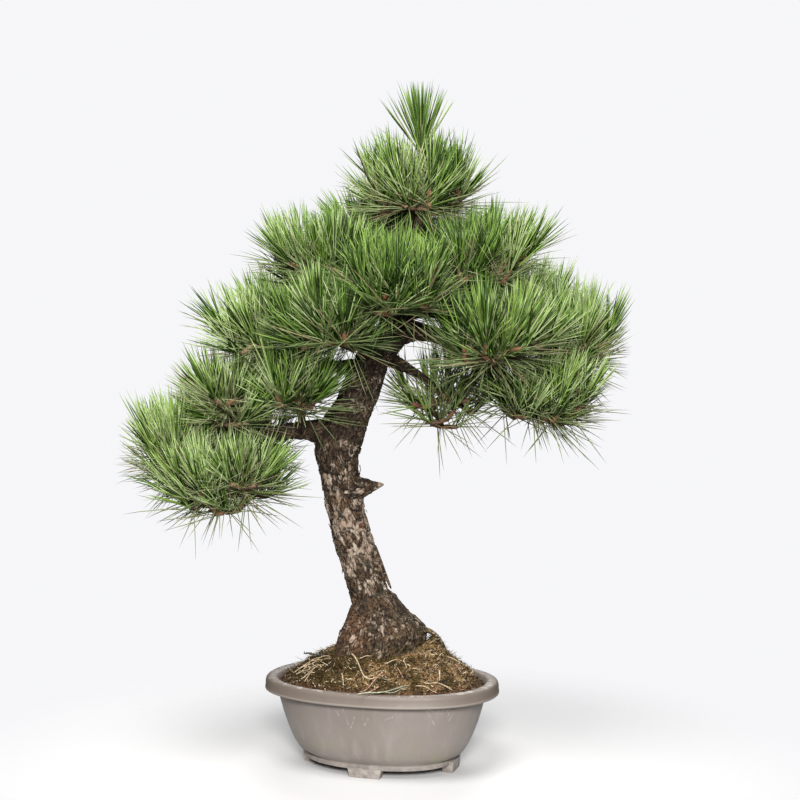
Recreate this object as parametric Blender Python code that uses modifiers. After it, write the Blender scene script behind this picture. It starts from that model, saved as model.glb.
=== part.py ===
"""Japanese black pine, grown as a bonsai, in its oval plastic training pot.

Metres, +Z up. The plant is laid out about the middle of the pot's foot ring, with +X to the
right of the front view and +Y away from it. At the end everything is moved sideways, so that
the origin lies on the ground under the middle of the whole plant.
"""

import math
import random

import bmesh
import bpy
from mathutils import Matrix, Vector

GAP = 0.0003  # clearance left where one solid meets the next
GOLDEN_ANGLE = math.pi * (3 - math.sqrt(5))
UP = Vector((0, 0, 1))

# Oval pot. Radii are along its long axis, and POT_OVAL is its width over its length.
POT_RADIUS = 0.1272
POT_OVAL = 0.71
OVAL_POWER = 2.2  # 2 is a true ellipse, more is blunter at the ends
POT_YAW = math.radians(-17)
POT_HEIGHT = 0.0945
POT_WALL = 0.0036
POT_STEPS = 32
FOOT_HEIGHT = 0.0085
FOOT_WIDTH = 0.037
FOOT_DEPTH = 0.013
FOOT_INSET = 0.0050
FOOT_TAPER = 0.86  # its size at the ground over its size at the pot
END_FOOT_SHARE = 0.85  # the feet under the ends are that much narrower
LIP_DROP = 0.0130
LIP_INNER = 0.1136
BODY_TOP = 0.1137
BODY_FOOT = 0.0800
BODY_RINGS = 5
BODY_CURVE = 0.50  # under 1, the side swells outward
BASE_BAND = 0.0055
BASE_BAND_PROUD = 0.0022
DRAIN_RADIUS = 0.0080
DRAIN_OFFSET = 0.0360
SHARP_ANGLE = math.radians(35)

# Soil mound, heaped up to the foot of the trunk.
SOIL_GAP = 0.0004
SOIL_AT_WALL = 0.0870
GROUND = 0.1180
PLATEAU_CENTRE = Vector((-0.003, 0.0, 0))
PLATEAU_RADII = (0.052, 0.050)
BANK_RADII = (0.061, 0.054)
BANK_RISE = 0.013  # the right side of the bank stands that much above the ground cut
BANK_SHARES = (0.35, 0.70)  # where the slope has rings between the wall and the bank

# Trunk stations from the ground cut to the tip of the leader: x, y, z, radius.
TRUNK = (
    (-0.006, 0.000, GROUND + GAP, 0.0445),
    (-0.002, 0.000, 0.1330, 0.0475),
    (0.0010, 0.000, 0.1490, 0.0450),
    (-0.0025, 0.000, 0.1630, 0.0345),
    (-0.0070, 0.000, 0.1745, 0.0262),
    (-0.0122, 0.000, 0.1840, 0.0216),
    (-0.0205, 0.000, 0.2100, 0.0212),
    (-0.0362, -0.002, 0.2655, 0.0207),
    (-0.0440, -0.004, 0.3150, 0.0216),
    (-0.0450, -0.005, 0.3480, 0.0256),
    (-0.0266, -0.002, 0.3900, 0.0206),
    (-0.0095, 0.003, 0.4330, 0.0188),
    (0.0125, 0.006, 0.4660, 0.0176),
    (0.0240, 0.010, 0.5000, 0.0112),
    (0.0350, 0.012, 0.5500, 0.0078),
    (0.0405, 0.010, 0.5820, 0.0050),
)
TRUNK_SIDES = 14
TRUNK_RINGS_PER_STATION = 2
FLARE_LOBES = 5
FLARE_DEPTH = 0.09
FLARE_TURN = 0.6
FLARE_TOP = 0.180
LIMB_POINTS = 6
LIMB_TAPER = 0.8  # under 1, a limb thins most near its base

# Boughs: parent, where on it (a height on the trunk, a share of the length on a bough),
# the tip, how far the middle bows, the radius at the base and at the tip.
BOUGHS = {
    "bough_left_low": ("trunk", 0.352, (-0.198, -0.006, 0.310), (0, 0, 0.047), 0.0112, 0.0050),
    "bough_left_inner": ("bough_left_low", 0.26, (-0.083, -0.030, 0.376), (0, -0.004, 0), 0.005, 0.0036),
    "bough_left_upper": ("bough_left_low", 0.58, (-0.151, -0.014, 0.366), (0.004, 0, 0), 0.0052, 0.0038),
    "bough_left_drop": ("bough_left_low", 0.62, (-0.158, -0.036, 0.308), (0, -0.004, 0), 0.0050, 0.0036),
    "bough_left_rear": ("bough_left_low", 0.45, (-0.146, 0.040, 0.342), (0, 0, 0.006), 0.0055, 0.0040),
    "bough_mid_left": ("trunk", 0.424, (-0.100, -0.012, 0.436), (0, 0, -0.004), 0.0085, 0.0048),
    "bough_mid_front": ("trunk", 0.446, (-0.036, -0.046, 0.454), (0, 0, 0.004), 0.0062, 0.0040),
    "bough_mid_rear": ("trunk", 0.458, (-0.058, 0.052, 0.466), (0, 0, 0.006), 0.0070, 0.0044),
    "bough_upper_left": ("trunk", 0.502, (-0.030, -0.010, 0.514), (0, 0, 0.005), 0.0066, 0.0042),
    "bough_front": ("trunk", 0.474, (0.013, -0.046, 0.486), (0, -0.004, 0), 0.0066, 0.0042),
    "bough_right": ("trunk", 0.464, (0.150, -0.020, 0.398), (0, 0, 0.042), 0.0108, 0.0052),
    "bough_right_front": ("bough_right", 0.45, (0.104, -0.054, 0.440), (0, 0, 0.004), 0.0056, 0.0040),
    "bough_right_end": ("bough_right", 0.74, (0.184, 0.014, 0.428), (0, 0, 0.008), 0.0050, 0.0038),
    "bough_right_rear": ("trunk", 0.486, (0.110, 0.058, 0.474), (0, 0, 0.010), 0.0076, 0.0046),
    "bough_upper_right": ("trunk", 0.512, (0.080, -0.016, 0.518), (0, 0, 0.008), 0.0064, 0.0042),
    "bough_back_low": ("trunk", 0.440, (0.058, 0.048, 0.404), (0, 0, 0.008), 0.0072, 0.0042),
    "bough_crown_rear": ("trunk", 0.505, (0.058, 0.070, 0.516), (0, 0, 0.006), 0.0062, 0.0040),
    "bough_back_middle": ("trunk", 0.470, (-0.004, 0.058, 0.482), (0, 0, 0.004), 0.0064, 0.0042),
    "bough_upper_rear": ("trunk", 0.536, (0.014, 0.046, 0.550), (0, 0, 0.004), 0.0050, 0.0036),
}
STUB = ("trunk", 0.294, (0.0025, -0.010, 0.3020), (0, 0, 0.001), 0.0185, 0.0022)
LOOP_ROOT = ("trunk", 0.140, (0.0690, -0.010, 0.1190), (0.0240, 0, 0.0385), 0.0036, 0.0028)

# Masses of needles: the limb whose tip bears it, the middle and the half sizes of the space
# that its shoot tips fill, and how many shoots it has.
MASSES = {
    "needles_apex": ("trunk", (0.038, 0.006, 0.612), (0.030, 0.034, 0.014), 8),
    "needles_upper_left": ("bough_upper_left", (-0.058, -0.020, 0.530), (0.030, 0.032, 0.012), 8),
    "needles_upper_rear": ("bough_upper_rear", (0.002, 0.066, 0.568), (0.034, 0.026, 0.014), 7),
    "needles_front": ("bough_front", (0.015, -0.076, 0.505), (0.030, 0.024, 0.014), 7),
    "needles_upper_right": ("bough_upper_right", (0.108, -0.030, 0.532), (0.030, 0.030, 0.014), 8),
    "needles_crown_rear": ("bough_crown_rear", (0.072, 0.096, 0.536), (0.034, 0.026, 0.016), 7),
    "needles_back_middle": ("bough_back_middle", (-0.010, 0.088, 0.502), (0.034, 0.024, 0.014), 7),
    "needles_right_rear": ("bough_right_rear", (0.150, 0.076, 0.480), (0.034, 0.030, 0.018), 8),
    "needles_right_front": ("bough_right_front", (0.120, -0.080, 0.452), (0.032, 0.024, 0.014), 7),
    "needles_right_end": ("bough_right_end", (0.200, 0.006, 0.450), (0.024, 0.034, 0.020), 8),
    "needles_right_low": ("bough_right", (0.174, -0.026, 0.388), (0.030, 0.032, 0.010), 7),
    "needles_back_low": ("bough_back_low", (0.072, 0.062, 0.390), (0.028, 0.028, 0.024), 7),
    "needles_mid_left": ("bough_mid_left", (-0.120, -0.016, 0.452), (0.028, 0.034, 0.012), 8),
    "needles_mid_front": ("bough_mid_front", (-0.052, -0.070, 0.468), (0.026, 0.020, 0.012), 6),
    "needles_mid_rear": ("bough_mid_rear", (-0.094, 0.080, 0.478), (0.034, 0.030, 0.016), 7),
    "needles_left_inner": ("bough_left_inner", (-0.086, -0.040, 0.404), (0.016, 0.018, 0.008), 5),
    "needles_left_upper": ("bough_left_upper", (-0.158, -0.014, 0.386), (0.030, 0.030, 0.010), 8),
    "needles_left_outer": ("bough_left_low", (-0.212, -0.004, 0.334), (0.018, 0.030, 0.018), 8),
    "needles_left_low": ("bough_left_drop", (-0.162, -0.052, 0.300), (0.032, 0.024, 0.010), 7),
    "needles_left_rear": ("bough_left_rear", (-0.166, 0.060, 0.344), (0.032, 0.026, 0.014), 7),
}
CELL_RISE = 0.012  # a mass's needles reach further up than down from its shoots
CELL_MARGIN = 0.045
CELL_GAP = 0.0006

NEAREST_SHOOT = 0.78  # a shoot stands between this share of its space's half sizes and all of them
LOWEST_SHOOT = 1.7  # how far down from the top of its space, of 2, a mass has shoots
UPWARD, OUTWARD, ONWARD, STRAY = 0.90, 0.55, 0.42, 0.14  # what a shoot's axis is made up of

STEM_LENGTH = 0.016
STEM_TURN = 0.8  # how far a stem turns from its limb's heading to the middle of its mass
STEM_OVERRUN = 0.6  # of its radius, that a stem runs on past the hub
SHOOT_LENGTH = 0.018
TWIG_STEP = 0.026  # a twig longer than this gets a bend
BEND_PLACE = 0.55
HUB_PULL = 0.3  # how much a twig prefers a root near the hub to one near its shoot
TWIG_SINK = 0.0008  # how far a twig starts inside the one that bears it
TWIG_LIFTS = (0.004, 0.014, -0.008, 0.024)
TWIG_MARGIN = 0.003
SHARPEST_TURN = math.radians(80)
ROOTS_TRIED = 4
SHOOT_RADIUS = 0.0020
TWIG_THICKNESS = 0.0029  # what a twig is taken as, to keep it off the limbs
PIPE_POWER = 0.33
LEADER_TIP = Vector((0.0425, 0.006, 0.6635))
LEADER_AXIS = Vector((-0.03, 0, 1)).normalized()
LEADER_SPREAD = 0.55  # its tuft is that much narrower
LIMB_CLEARANCE = 0.0012

# A tuft: needles in rings about the shoot, as (degrees from its axis, count, turn), on a core
# whose rings of points are (height along the shoot, radius, turn).
NEEDLE_LENGTH = 0.070
NEEDLE_HALF_WIDTH = 0.0016
NEEDLE_RINGS = ((0, 1, 0.0), (24, 4, 0.5), (48, 4, 0.0))
NEEDLE_SHARES = (1.0, 0.88, 0.76, 0.64, 0.52)  # lengths tried where the full one isn't free
SHORTEST_NEEDLE = 0.90
TURN_JITTER = 0.25
LEAN_JITTER = 5
LEANING_LOSS = 0.08  # needles that stand out sideways are that much shorter
FEWEST_NEEDLES = 3
CORE_SIDES = 4
CORE_ROOT = 0.013
CORE_THICKNESS = 0.0036
CORE_RINGS = ((-0.0020, 0.0034, 0.5), (0.0060, 0.0030, 0.0))
CORE_TOP = 0.9  # a face of the core that looks up more than this bears the middle needle
CORE_SPLIT = 0.12  # and more than this, one of the first ring

COLOURS = {
    "pot_plastic": ((0.36, 0.31, 0.28), 0.55),
    "soil": ((0.16, 0.12, 0.07), 0.95),
    "bark": ((0.14, 0.10, 0.08), 0.90),
    "needles": ((0.12, 0.26, 0.06), 0.60),
}


def clear_scene():
    for obj in list(bpy.data.objects):
        bpy.data.objects.remove(obj)


def collection(name):
    made = bpy.data.collections.new(name)
    bpy.context.scene.collection.children.link(made)
    return made


def material(name):
    colour, roughness = COLOURS[name]
    made = bpy.data.materials.get(name) or bpy.data.materials.new(name)
    made.use_nodes = True
    shader = made.node_tree.nodes["Principled BSDF"]
    shader.inputs["Base Color"].default_value = (*colour, 1)
    shader.inputs["Roughness"].default_value = roughness
    shader.inputs["Metallic"].default_value = 0.0
    return made


def add_object(name, data, home, finish=None):
    obj = bpy.data.objects.new(name, data)
    home.objects.link(obj)
    if finish:
        data.materials.append(material(finish))
    return obj


def mesh_from(bm, name):
    mesh = bpy.data.meshes.new(name)
    bm.to_mesh(mesh)
    bm.free()
    return mesh


def curve_to_mesh(obj):
    """A closed mesh in world space from a curve object, with its caps welded. The curve is removed."""
    graph = bpy.context.evaluated_depsgraph_get()
    mesh = bpy.data.meshes.new_from_object(obj.evaluated_get(graph))
    bm = bmesh.new()
    bm.from_mesh(mesh)
    bmesh.ops.remove_doubles(bm, verts=bm.verts, dist=1e-6)
    bm.transform(obj.matrix_world)
    bm.to_mesh(mesh)
    bm.free()
    curve = obj.data
    bpy.data.objects.remove(obj)
    bpy.data.curves.remove(curve)
    return mesh


def as_cutter(obj):
    obj.hide_render = True
    obj.display_type = "WIRE"
    return obj


def add_boolean(obj, other, operation):
    cut = obj.modifiers.new(f"{operation.lower()}_{other.name}", "BOOLEAN")
    cut.operation = operation
    cut.solver = "EXACT"
    cut.object = other
    return cut


def apply_modifiers(obj):
    graph = bpy.context.evaluated_depsgraph_get()
    mesh = bpy.data.meshes.new_from_object(obj.evaluated_get(graph))
    obj.modifiers.clear()
    obj.data = mesh
    return obj


# Pot and soil


def oval_point(radius_x, radius_y, turn):
    """The point on a blunt oval at that turn."""
    across, along = math.cos(turn), math.sin(turn)
    blunt = (abs(across) ** OVAL_POWER + abs(along) ** OVAL_POWER) ** (-1 / OVAL_POWER)
    return radius_x * across * blunt, radius_y * along * blunt


def outer_profile():
    """Radius and height of the pot's outside, from the lip's crest down to the underside."""
    lip = [
        (LIP_INNER + 0.0020, POT_HEIGHT),
        (LIP_INNER + 0.0085, POT_HEIGHT - 0.0012),
        (POT_RADIUS - 0.0022, POT_HEIGHT - 0.0050),
        (POT_RADIUS, POT_HEIGHT - 0.0100),
        (POT_RADIUS - 0.0012, POT_HEIGHT - LIP_DROP),
        (BODY_TOP, POT_HEIGHT - LIP_DROP + 0.0006),
    ]
    top, foot = POT_HEIGHT - LIP_DROP, FOOT_HEIGHT + BASE_BAND
    body = []
    for step in range(1, BODY_RINGS + 1):
        height = 1 - step / BODY_RINGS
        radius = BODY_FOOT + (BODY_TOP - BODY_FOOT) * height**BODY_CURVE
        body.append((radius, foot + (top - foot) * height))
    band = [
        (BODY_FOOT + BASE_BAND_PROUD, foot - 0.0006),
        (BODY_FOOT + BASE_BAND_PROUD - 0.0010, FOOT_HEIGHT),
    ]
    return lip + body + band


def inner_profile(inset=0.0):
    """Radius and height of the pot's inside, or that much inside it, from its floor up to the lip."""
    floor = FOOT_HEIGHT + POT_WALL + inset
    wall = POT_WALL + inset
    body = [point for point in outer_profile() if point[0] <= BODY_TOP and point[1] > floor + 0.006]
    points = [(BODY_FOOT - wall - 0.004, floor), (BODY_FOOT - wall, floor + 0.004)]
    points += [(radius - wall, height) for radius, height in reversed(body)]
    return points


def pot_solid(home, cutters):
    """A turned wall with a rolled lip, made oval, with four feet and two drain holes."""
    profile = [(0, FOOT_HEIGHT + POT_WALL)] + inner_profile()
    profile += [(LIP_INNER - 0.0012, POT_HEIGHT - 0.0030)]
    profile += outer_profile() + [(0, FOOT_HEIGHT)]
    mesh = bpy.data.meshes.new("pot")
    points = [(radius, 0, height) for radius, height in reversed(profile)]
    mesh.from_pydata(points, [(i, i + 1) for i in range(len(points) - 1)], [])
    pot = add_object("pot", mesh, home)
    turn = pot.modifiers.new("turn", "SCREW")
    turn.steps = turn.render_steps = POT_STEPS
    turn.use_merge_vertices = True
    turn.merge_threshold = 0.00001
    apply_modifiers(pot)
    bm = bmesh.new()
    bm.from_mesh(pot.data)
    for vert in bm.verts:
        radius, turn = vert.co.xy.length, math.atan2(vert.co.y, vert.co.x)
        vert.co.xy = oval_point(radius, radius * POT_OVAL, turn)
    bmesh.ops.remove_doubles(bm, verts=bm.verts, dist=1e-6)
    bmesh.ops.recalc_face_normals(bm, faces=bm.faces)
    bm.to_mesh(pot.data)
    bm.free()
    for index in range(4):
        add_boolean(pot, as_cutter(pot_foot(index, cutters)), "UNION")
    for side in (-1, 1):
        add_boolean(pot, as_cutter(drain_hole(side, cutters)), "DIFFERENCE")
    apply_modifiers(pot)
    pot.data.transform(Matrix.Rotation(POT_YAW, 4, "Z"))
    pot.data.materials.append(material("pot_plastic"))
    pot.data.shade_smooth()
    pot.data.set_sharp_from_angle(angle=SHARP_ANGLE)
    return pot


def pot_foot(index, home):
    """A block that tapers to the ground, under the end of one of the oval's axes."""
    long_axis = index % 2 == 0
    reach = BODY_FOOT - FOOT_INSET
    turn = math.pi / 2 * index
    middle = Vector((math.cos(turn) * reach, math.sin(turn) * reach * POT_OVAL, 0))
    width = FOOT_WIDTH * (END_FOOT_SHARE if long_axis else 1.0)
    height = FOOT_HEIGHT + POT_WALL / 2
    bm = bmesh.new()
    bmesh.ops.create_cube(bm, size=1)
    for vert in bm.verts:
        taper = FOOT_TAPER if vert.co.z < 0 else 1.0
        corner = vert.co + UP / 2
        vert.co = Vector((corner.x * FOOT_DEPTH * taper, corner.y * width * taper, corner.z * height))
    bmesh.ops.rotate(bm, verts=bm.verts, matrix=Matrix.Rotation(turn, 3, "Z"))
    bmesh.ops.translate(bm, verts=bm.verts, vec=middle)
    return add_object(f"foot_{index}", mesh_from(bm, f"foot_{index}"), home)


def drain_hole(side, home):
    bm = bmesh.new()
    size = {"radius1": DRAIN_RADIUS, "radius2": DRAIN_RADIUS, "depth": POT_WALL * 8}
    bmesh.ops.create_cone(bm, cap_ends=True, segments=16, **size)
    bmesh.ops.translate(bm, verts=bm.verts, vec=(side * DRAIN_OFFSET, 0, FOOT_HEIGHT))
    return add_object(f"drain_{side}", mesh_from(bm, "drain"), home)


def loft(rings, name):
    """One closed mesh of triangles through rings of as many points each, capped flat at both ends."""
    bm = bmesh.new()
    rows = [[bm.verts.new(point) for point in ring] for ring in rings]
    for lower, upper in zip(rows, rows[1:]):
        for i in range(len(lower)):
            j = (i + 1) % len(lower)
            bm.faces.new((lower[i], lower[j], upper[j], upper[i]))
    bm.faces.new(rows[0][::-1])
    bm.faces.new(rows[-1])
    bmesh.ops.triangulate(bm, faces=bm.faces)
    return mesh_from(bm, name)


def oval_ring(radius_x, radius_y, height, centre=Vector(), yaw=POT_YAW, rise=0.0):
    """Points round an oval. rise lifts its right side."""
    ring = []
    for step in range(POT_STEPS):
        turn = 2 * math.pi * step / POT_STEPS
        flat = Vector((*oval_point(radius_x, radius_y, turn), 0))
        flat.rotate(Matrix.Rotation(yaw, 3, "Z"))
        side = max(0.0, flat.normalized().x) ** 3
        ring.append(flat + centre + UP * (height + rise * side))
    return ring


def soil_solid(home):
    """Fills the pot to just under its lip, and rises to a level place for the trunk's foot."""
    fill = [point for point in inner_profile(SOIL_GAP) if point[1] < SOIL_AT_WALL]
    rings = [oval_ring(radius, radius * POT_OVAL, height) for radius, height in fill]
    wall = fill[-1][0]
    rings.append(oval_ring(wall, wall * POT_OVAL, SOIL_AT_WALL))
    for share in BANK_SHARES:
        radii = Vector((wall, wall * POT_OVAL)).lerp(Vector(BANK_RADII), share)
        height = SOIL_AT_WALL + (GROUND - SOIL_AT_WALL) * share
        rings.append(oval_ring(*radii, height, PLATEAU_CENTRE * share, rise=BANK_RISE * share))
    rings.append(oval_ring(*BANK_RADII, GROUND, PLATEAU_CENTRE, rise=BANK_RISE))
    rings.append(oval_ring(*PLATEAU_RADII, GROUND, PLATEAU_CENTRE))
    return add_object("soil_mound", loft(rings, "soil_mound"), home, "soil")


# Trunk and boughs


def smooth_path(stations, per_station):
    """Catmull-Rom points through the stations, each a tuple that ends with a radius."""
    rows = [Vector(station) for station in stations]
    rows = [2 * rows[0] - rows[1]] + rows + [2 * rows[-1] - rows[-2]]
    made = []
    for a, b, c, d in zip(rows, rows[1:], rows[2:], rows[3:]):
        for step in range(per_station):
            t = step / per_station
            bend, twist = 2 * a - 5 * b + 4 * c - d, 3 * b - a - 3 * c + d
            made.append((2 * b + (c - a) * t + bend * t**2 + twist * t**3) / 2)
    made.append(rows[-2])
    return [(Vector(row[:3]), row[3]) for row in made]


TRUNK_PATH = smooth_path(TRUNK, TRUNK_RINGS_PER_STATION)


def trunk_ring(index, extra=0.0):
    """The trunk's section there: round above, lobed where the roots flare, level at the ground."""
    point, radius = TRUNK_PATH[index]
    before = TRUNK_PATH[max(0, index - 1)][0]
    after = TRUNK_PATH[min(len(TRUNK_PATH) - 1, index + 1)][0]
    flare = max(0.0, min(1.0, (FLARE_TOP - point.z) / (FLARE_TOP - GROUND - GAP)))
    along = (after - before).normalized().lerp(UP, flare).normalized()
    side = Vector((0, 1, 0)).cross(along).normalized()
    front = along.cross(side)
    ring = []
    for step in range(TRUNK_SIDES):
        turn = 2 * math.pi * step / TRUNK_SIDES
        lobes = 1 + FLARE_DEPTH * flare * math.cos(FLARE_LOBES * turn + FLARE_TURN)
        reach = radius * lobes + extra
        ring.append(point + (side * math.cos(turn) + front * math.sin(turn)) * reach)
    return ring


def trunk_solid(home):
    rings = [trunk_ring(index) for index in range(len(TRUNK_PATH))]
    trunk = add_object("trunk", loft(rings, "trunk"), home, "bark")
    trunk.data.shade_smooth()
    return trunk


def point_on(limb, place):
    """A point on a limb's axis: by height on the trunk, by share of its length on a bough."""
    if limb == "trunk":
        for (low, _), (high, _) in zip(TRUNK_PATH, TRUNK_PATH[1:]):
            if low.z <= place <= high.z:
                return low.lerp(high, (place - low.z) / (high.z - low.z))
    path = limb_path(limb)
    step = place * (len(path) - 1)
    index = min(int(step), len(path) - 2)
    return path[index][0].lerp(path[index + 1][0], step - index)


LIMBS = {**BOUGHS, "dead_stub": STUB, "loop_root": LOOP_ROOT}


def limb_path(name):
    """Points and radii along a limb: one bowed curve from its parent's axis to its tip."""
    if name == "trunk":
        return TRUNK_PATH
    parent, place, tip, bow, base_radius, tip_radius = LIMBS[name]
    start, end = point_on(parent, place), Vector(tip)
    middle = (start + end) / 2 + Vector(bow)
    path = []
    for step in range(LIMB_POINTS):
        t = step / (LIMB_POINTS - 1)
        point = start * (1 - t) ** 2 + middle * 2 * t * (1 - t) + end * t**2
        path.append((point, base_radius + (tip_radius - base_radius) * t**LIMB_TAPER))
    return path


def limb_mesh(name, extra=0.0):
    """A bough's tapering tube, or one that is that much fatter."""
    path = limb_path(name)
    curve = bpy.data.curves.new(name, "CURVE")
    curve.dimensions = "3D"
    curve.bevel_depth = 1.0
    curve.bevel_resolution = 1
    curve.use_fill_caps = True
    spline = curve.splines.new("POLY")
    spline.points.add(len(path) - 1)
    for place, (point, radius) in zip(spline.points, path):
        place.co = (*point, 1)
        place.radius = radius + extra
    obj = add_object(f"{name}_curve", curve, bpy.context.scene.collection)
    return curve_to_mesh(obj)


def limb_cutter(name, cutters):
    """The limb grown by the gap, to cut what is rooted on it."""
    known = bpy.data.objects.get(f"around_{name}")
    if known:
        return known
    if name == "trunk":
        rings = [trunk_ring(index, GAP) for index in range(len(TRUNK_PATH))]
        mesh = loft(rings, "around_trunk")
    else:
        mesh = limb_mesh(name, GAP)
    return as_cutter(add_object(f"around_{name}", mesh, cutters))


def limb_solid(name, home, cutters):
    limb = add_object(name, limb_mesh(name), home, "bark")
    limb.data.shade_smooth()
    add_boolean(limb, limb_cutter(LIMBS[name][0], cutters), "DIFFERENCE")
    return apply_modifiers(limb)


# Needles: where the shoots stand


def heading_of(name):
    path = limb_path(name)
    return (path[-1][0] - path[-2][0]).normalized()


def shoots(mass):
    """Tip and axis of each shoot, spread evenly through the mass's space and turned up and out."""
    limb, centre, radii, count = MASSES[mass]
    rng = random.Random(mass)
    centre, radii = Vector(centre), Vector(radii)
    drift = (centre - limb_path(limb)[-1][0]).normalized()
    phase = rng.uniform(0, 2 * math.pi)
    made = []
    for index in range(count):
        turn = phase + GOLDEN_ANGLE * index
        height = 1 - LOWEST_SHOOT * (index + 0.5) / count
        ring = math.sqrt(1 - height**2)
        out = Vector((math.cos(turn) * ring, math.sin(turn) * ring, height))
        tip = centre + out * radii * rng.uniform(NEAREST_SHOOT, 1.0)
        jitter = Vector([rng.uniform(-1, 1) for _ in range(3)])
        axis = (UP * UPWARD + out * OUTWARD + drift * ONWARD + jitter * STRAY).normalized()
        made.append((tip, axis))
    if mass == "needles_apex":
        made[0] = (LEADER_TIP, LEADER_AXIS)
    return made


def cell_walls(mass):
    """The planes that part this mass's space from its neighbours', each a point and a direction out."""
    walls = []
    middle, reach = cell_of(mass)
    for other in MASSES:
        if other == mass:
            continue
        far_middle, far_reach = cell_of(other)
        out = (far_middle - middle).normalized()
        own, far = (out * reach).length, (out * far_reach).length
        share = own / (own + far)
        walls.append((middle.lerp(far_middle, share) - out * CELL_GAP / 2, out))
    return walls


def cell_of(mass):
    _, centre, radii, _ = MASSES[mass]
    return Vector(centre) + UP * CELL_RISE, Vector(radii) + Vector((1, 1, 1)) * CELL_MARGIN


def inside(point, walls, margin=0.0):
    return all((point - place).dot(out) < -margin for place, out in walls)


def segment_gap(a, b, c, d):
    """Least distance between segments ab and cd, and the share along cd where it is."""
    u, v, w = b - a, d - c, a - c
    uu, uv, vv, uw, vw = u.dot(u), u.dot(v), v.dot(v), u.dot(w), v.dot(w)
    bottom = uu * vv - uv * uv
    s = 0.0 if bottom < 1e-15 else min(1.0, max(0.0, (uv * vw - vv * uw) / bottom))
    t = min(1.0, max(0.0, (uv * s + vw) / vv))
    s = min(1.0, max(0.0, (uv * t - uw) / uu))
    return (a + u * s - c - v * t).length, t


def obstacles():
    """Every limb and every mass's stem as short pieces: owner, ends and radii."""
    pieces = []
    for limb in ["trunk", *LIMBS]:
        path = limb_path(limb)
        swell = 1 + FLARE_DEPTH if limb == "trunk" else 1.0
        for (a, start), (b, end) in zip(path, path[1:]):
            pieces.append((limb, a, b, start * swell, end * swell))
    for mass, (_, _, _, count) in MASSES.items():
        start, hub = stem_of(mass)
        radius = twig_radius(count)
        pieces.append((mass, start, hub, radius, radius))
    return pieces


def clears(a, b, thickness, pieces, own):
    """Whether a stick from a to b keeps off every piece that isn't one of its own."""
    for owner, c, d, start, end in pieces:
        if owner in own:
            continue
        gap, share = segment_gap(a, b, c, d)
        if gap < start + (end - start) * share + thickness + LIMB_CLEARANCE:
            return False
    return True


def stem_of(mass):
    """The mass's stem: from just past its limb's tip to the hub that its twigs leave from."""
    limb, centre, _, _ = MASSES[mass]
    tip = limb_path(limb)[-1][0]
    heading = heading_of(limb)
    start = tip + heading * GAP
    toward = (heading + (Vector(centre) - tip).normalized() * STEM_TURN).normalized()
    return start, start + toward * STEM_LENGTH


def twig_radius(shoots_borne):
    return SHOOT_RADIUS * max(1, shoots_borne) ** PIPE_POWER


def twig_tree(mass, walls, pieces):
    """The mass's twigs. Each shoot joins the nearest twig that it can reach, by way of a bend,
    and one that would leave the space or touch a limb is skipped. Returns the places, the
    parent of each, and the shoots that grew, as (index of the tip, axis)."""
    start, hub = stem_of(mass)
    places, parents, grown = [start, hub], [None, 0], []
    order = sorted(shoots(mass), key=lambda shoot: (shoot[0] - hub).length)
    for tip, axis in order:
        foot = tip - axis * SHOOT_LENGTH
        ways = [(place - foot).length + HUB_PULL * (place - hub).length for place in places]
        near = sorted(range(1, len(places)), key=ways.__getitem__)
        chain = free_chain(places, near[:ROOTS_TRIED], foot, tip, walls, pieces, mass)
        if not chain:
            continue
        root, points = chain
        for point in points:
            places.append(point)
            parents.append(root)
            root = len(places) - 1
        grown.append((root, axis))
    return places, parents, grown


def free_chain(places, roots, foot, tip, walls, pieces, mass):
    """The first way from a root by a raised bend to the shoot that stays in the space and clear."""
    core = tip.lerp(foot, CORE_ROOT / SHOOT_LENGTH)
    if not clears(core, tip, CORE_THICKNESS, pieces, (mass,)):
        return None
    for root in roots:
        for lift in TWIG_LIFTS:
            bend = places[root].lerp(foot, BEND_PLACE) + UP * lift
            ways = [[foot, tip], [tip]]
            if (foot - places[root]).length > TWIG_STEP:
                ways.insert(0, [bend, foot, tip])
            for points in ways:
                if is_open(places[root], points, walls, pieces, mass):
                    return root, points
    return None


def is_open(root, points, walls, pieces, mass):
    """Whether a twig through the points has no sharp turn, stays in the space and keeps clear."""
    links = list(zip([root, *points], points))
    steps = [b - a for a, b in links]
    if any(before.angle(after) > SHARPEST_TURN for before, after in zip(steps, steps[1:])):
        return False
    if not all(inside(point, walls, TWIG_MARGIN) for point in points):
        return False
    return all(clears(a, b, TWIG_THICKNESS, pieces, (mass,)) for a, b in links)


# Needles: the solids


def twig_solid(places, radii, turn=0.0, facing=None):
    """A three-sided twig through the places, tapering. Its first end is square to facing, if given."""
    rings = []
    start = places[1] - places[0]
    side = Matrix.Rotation(turn, 3, start) @ start.orthogonal().normalized()
    for index, (place, radius) in enumerate(zip(places, radii)):
        before, after = places[max(0, index - 1)], places[min(len(places) - 1, index + 1)]
        along = facing if facing and index == 0 else (after - before).normalized()
        side = (side - along * side.dot(along)).normalized()
        turned = [Matrix.Rotation(2 * math.pi * step / 3, 3, along) @ side for step in range(3)]
        rings.append([place + spoke * radius for spoke in turned])
    return loft(rings, "twig")


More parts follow.
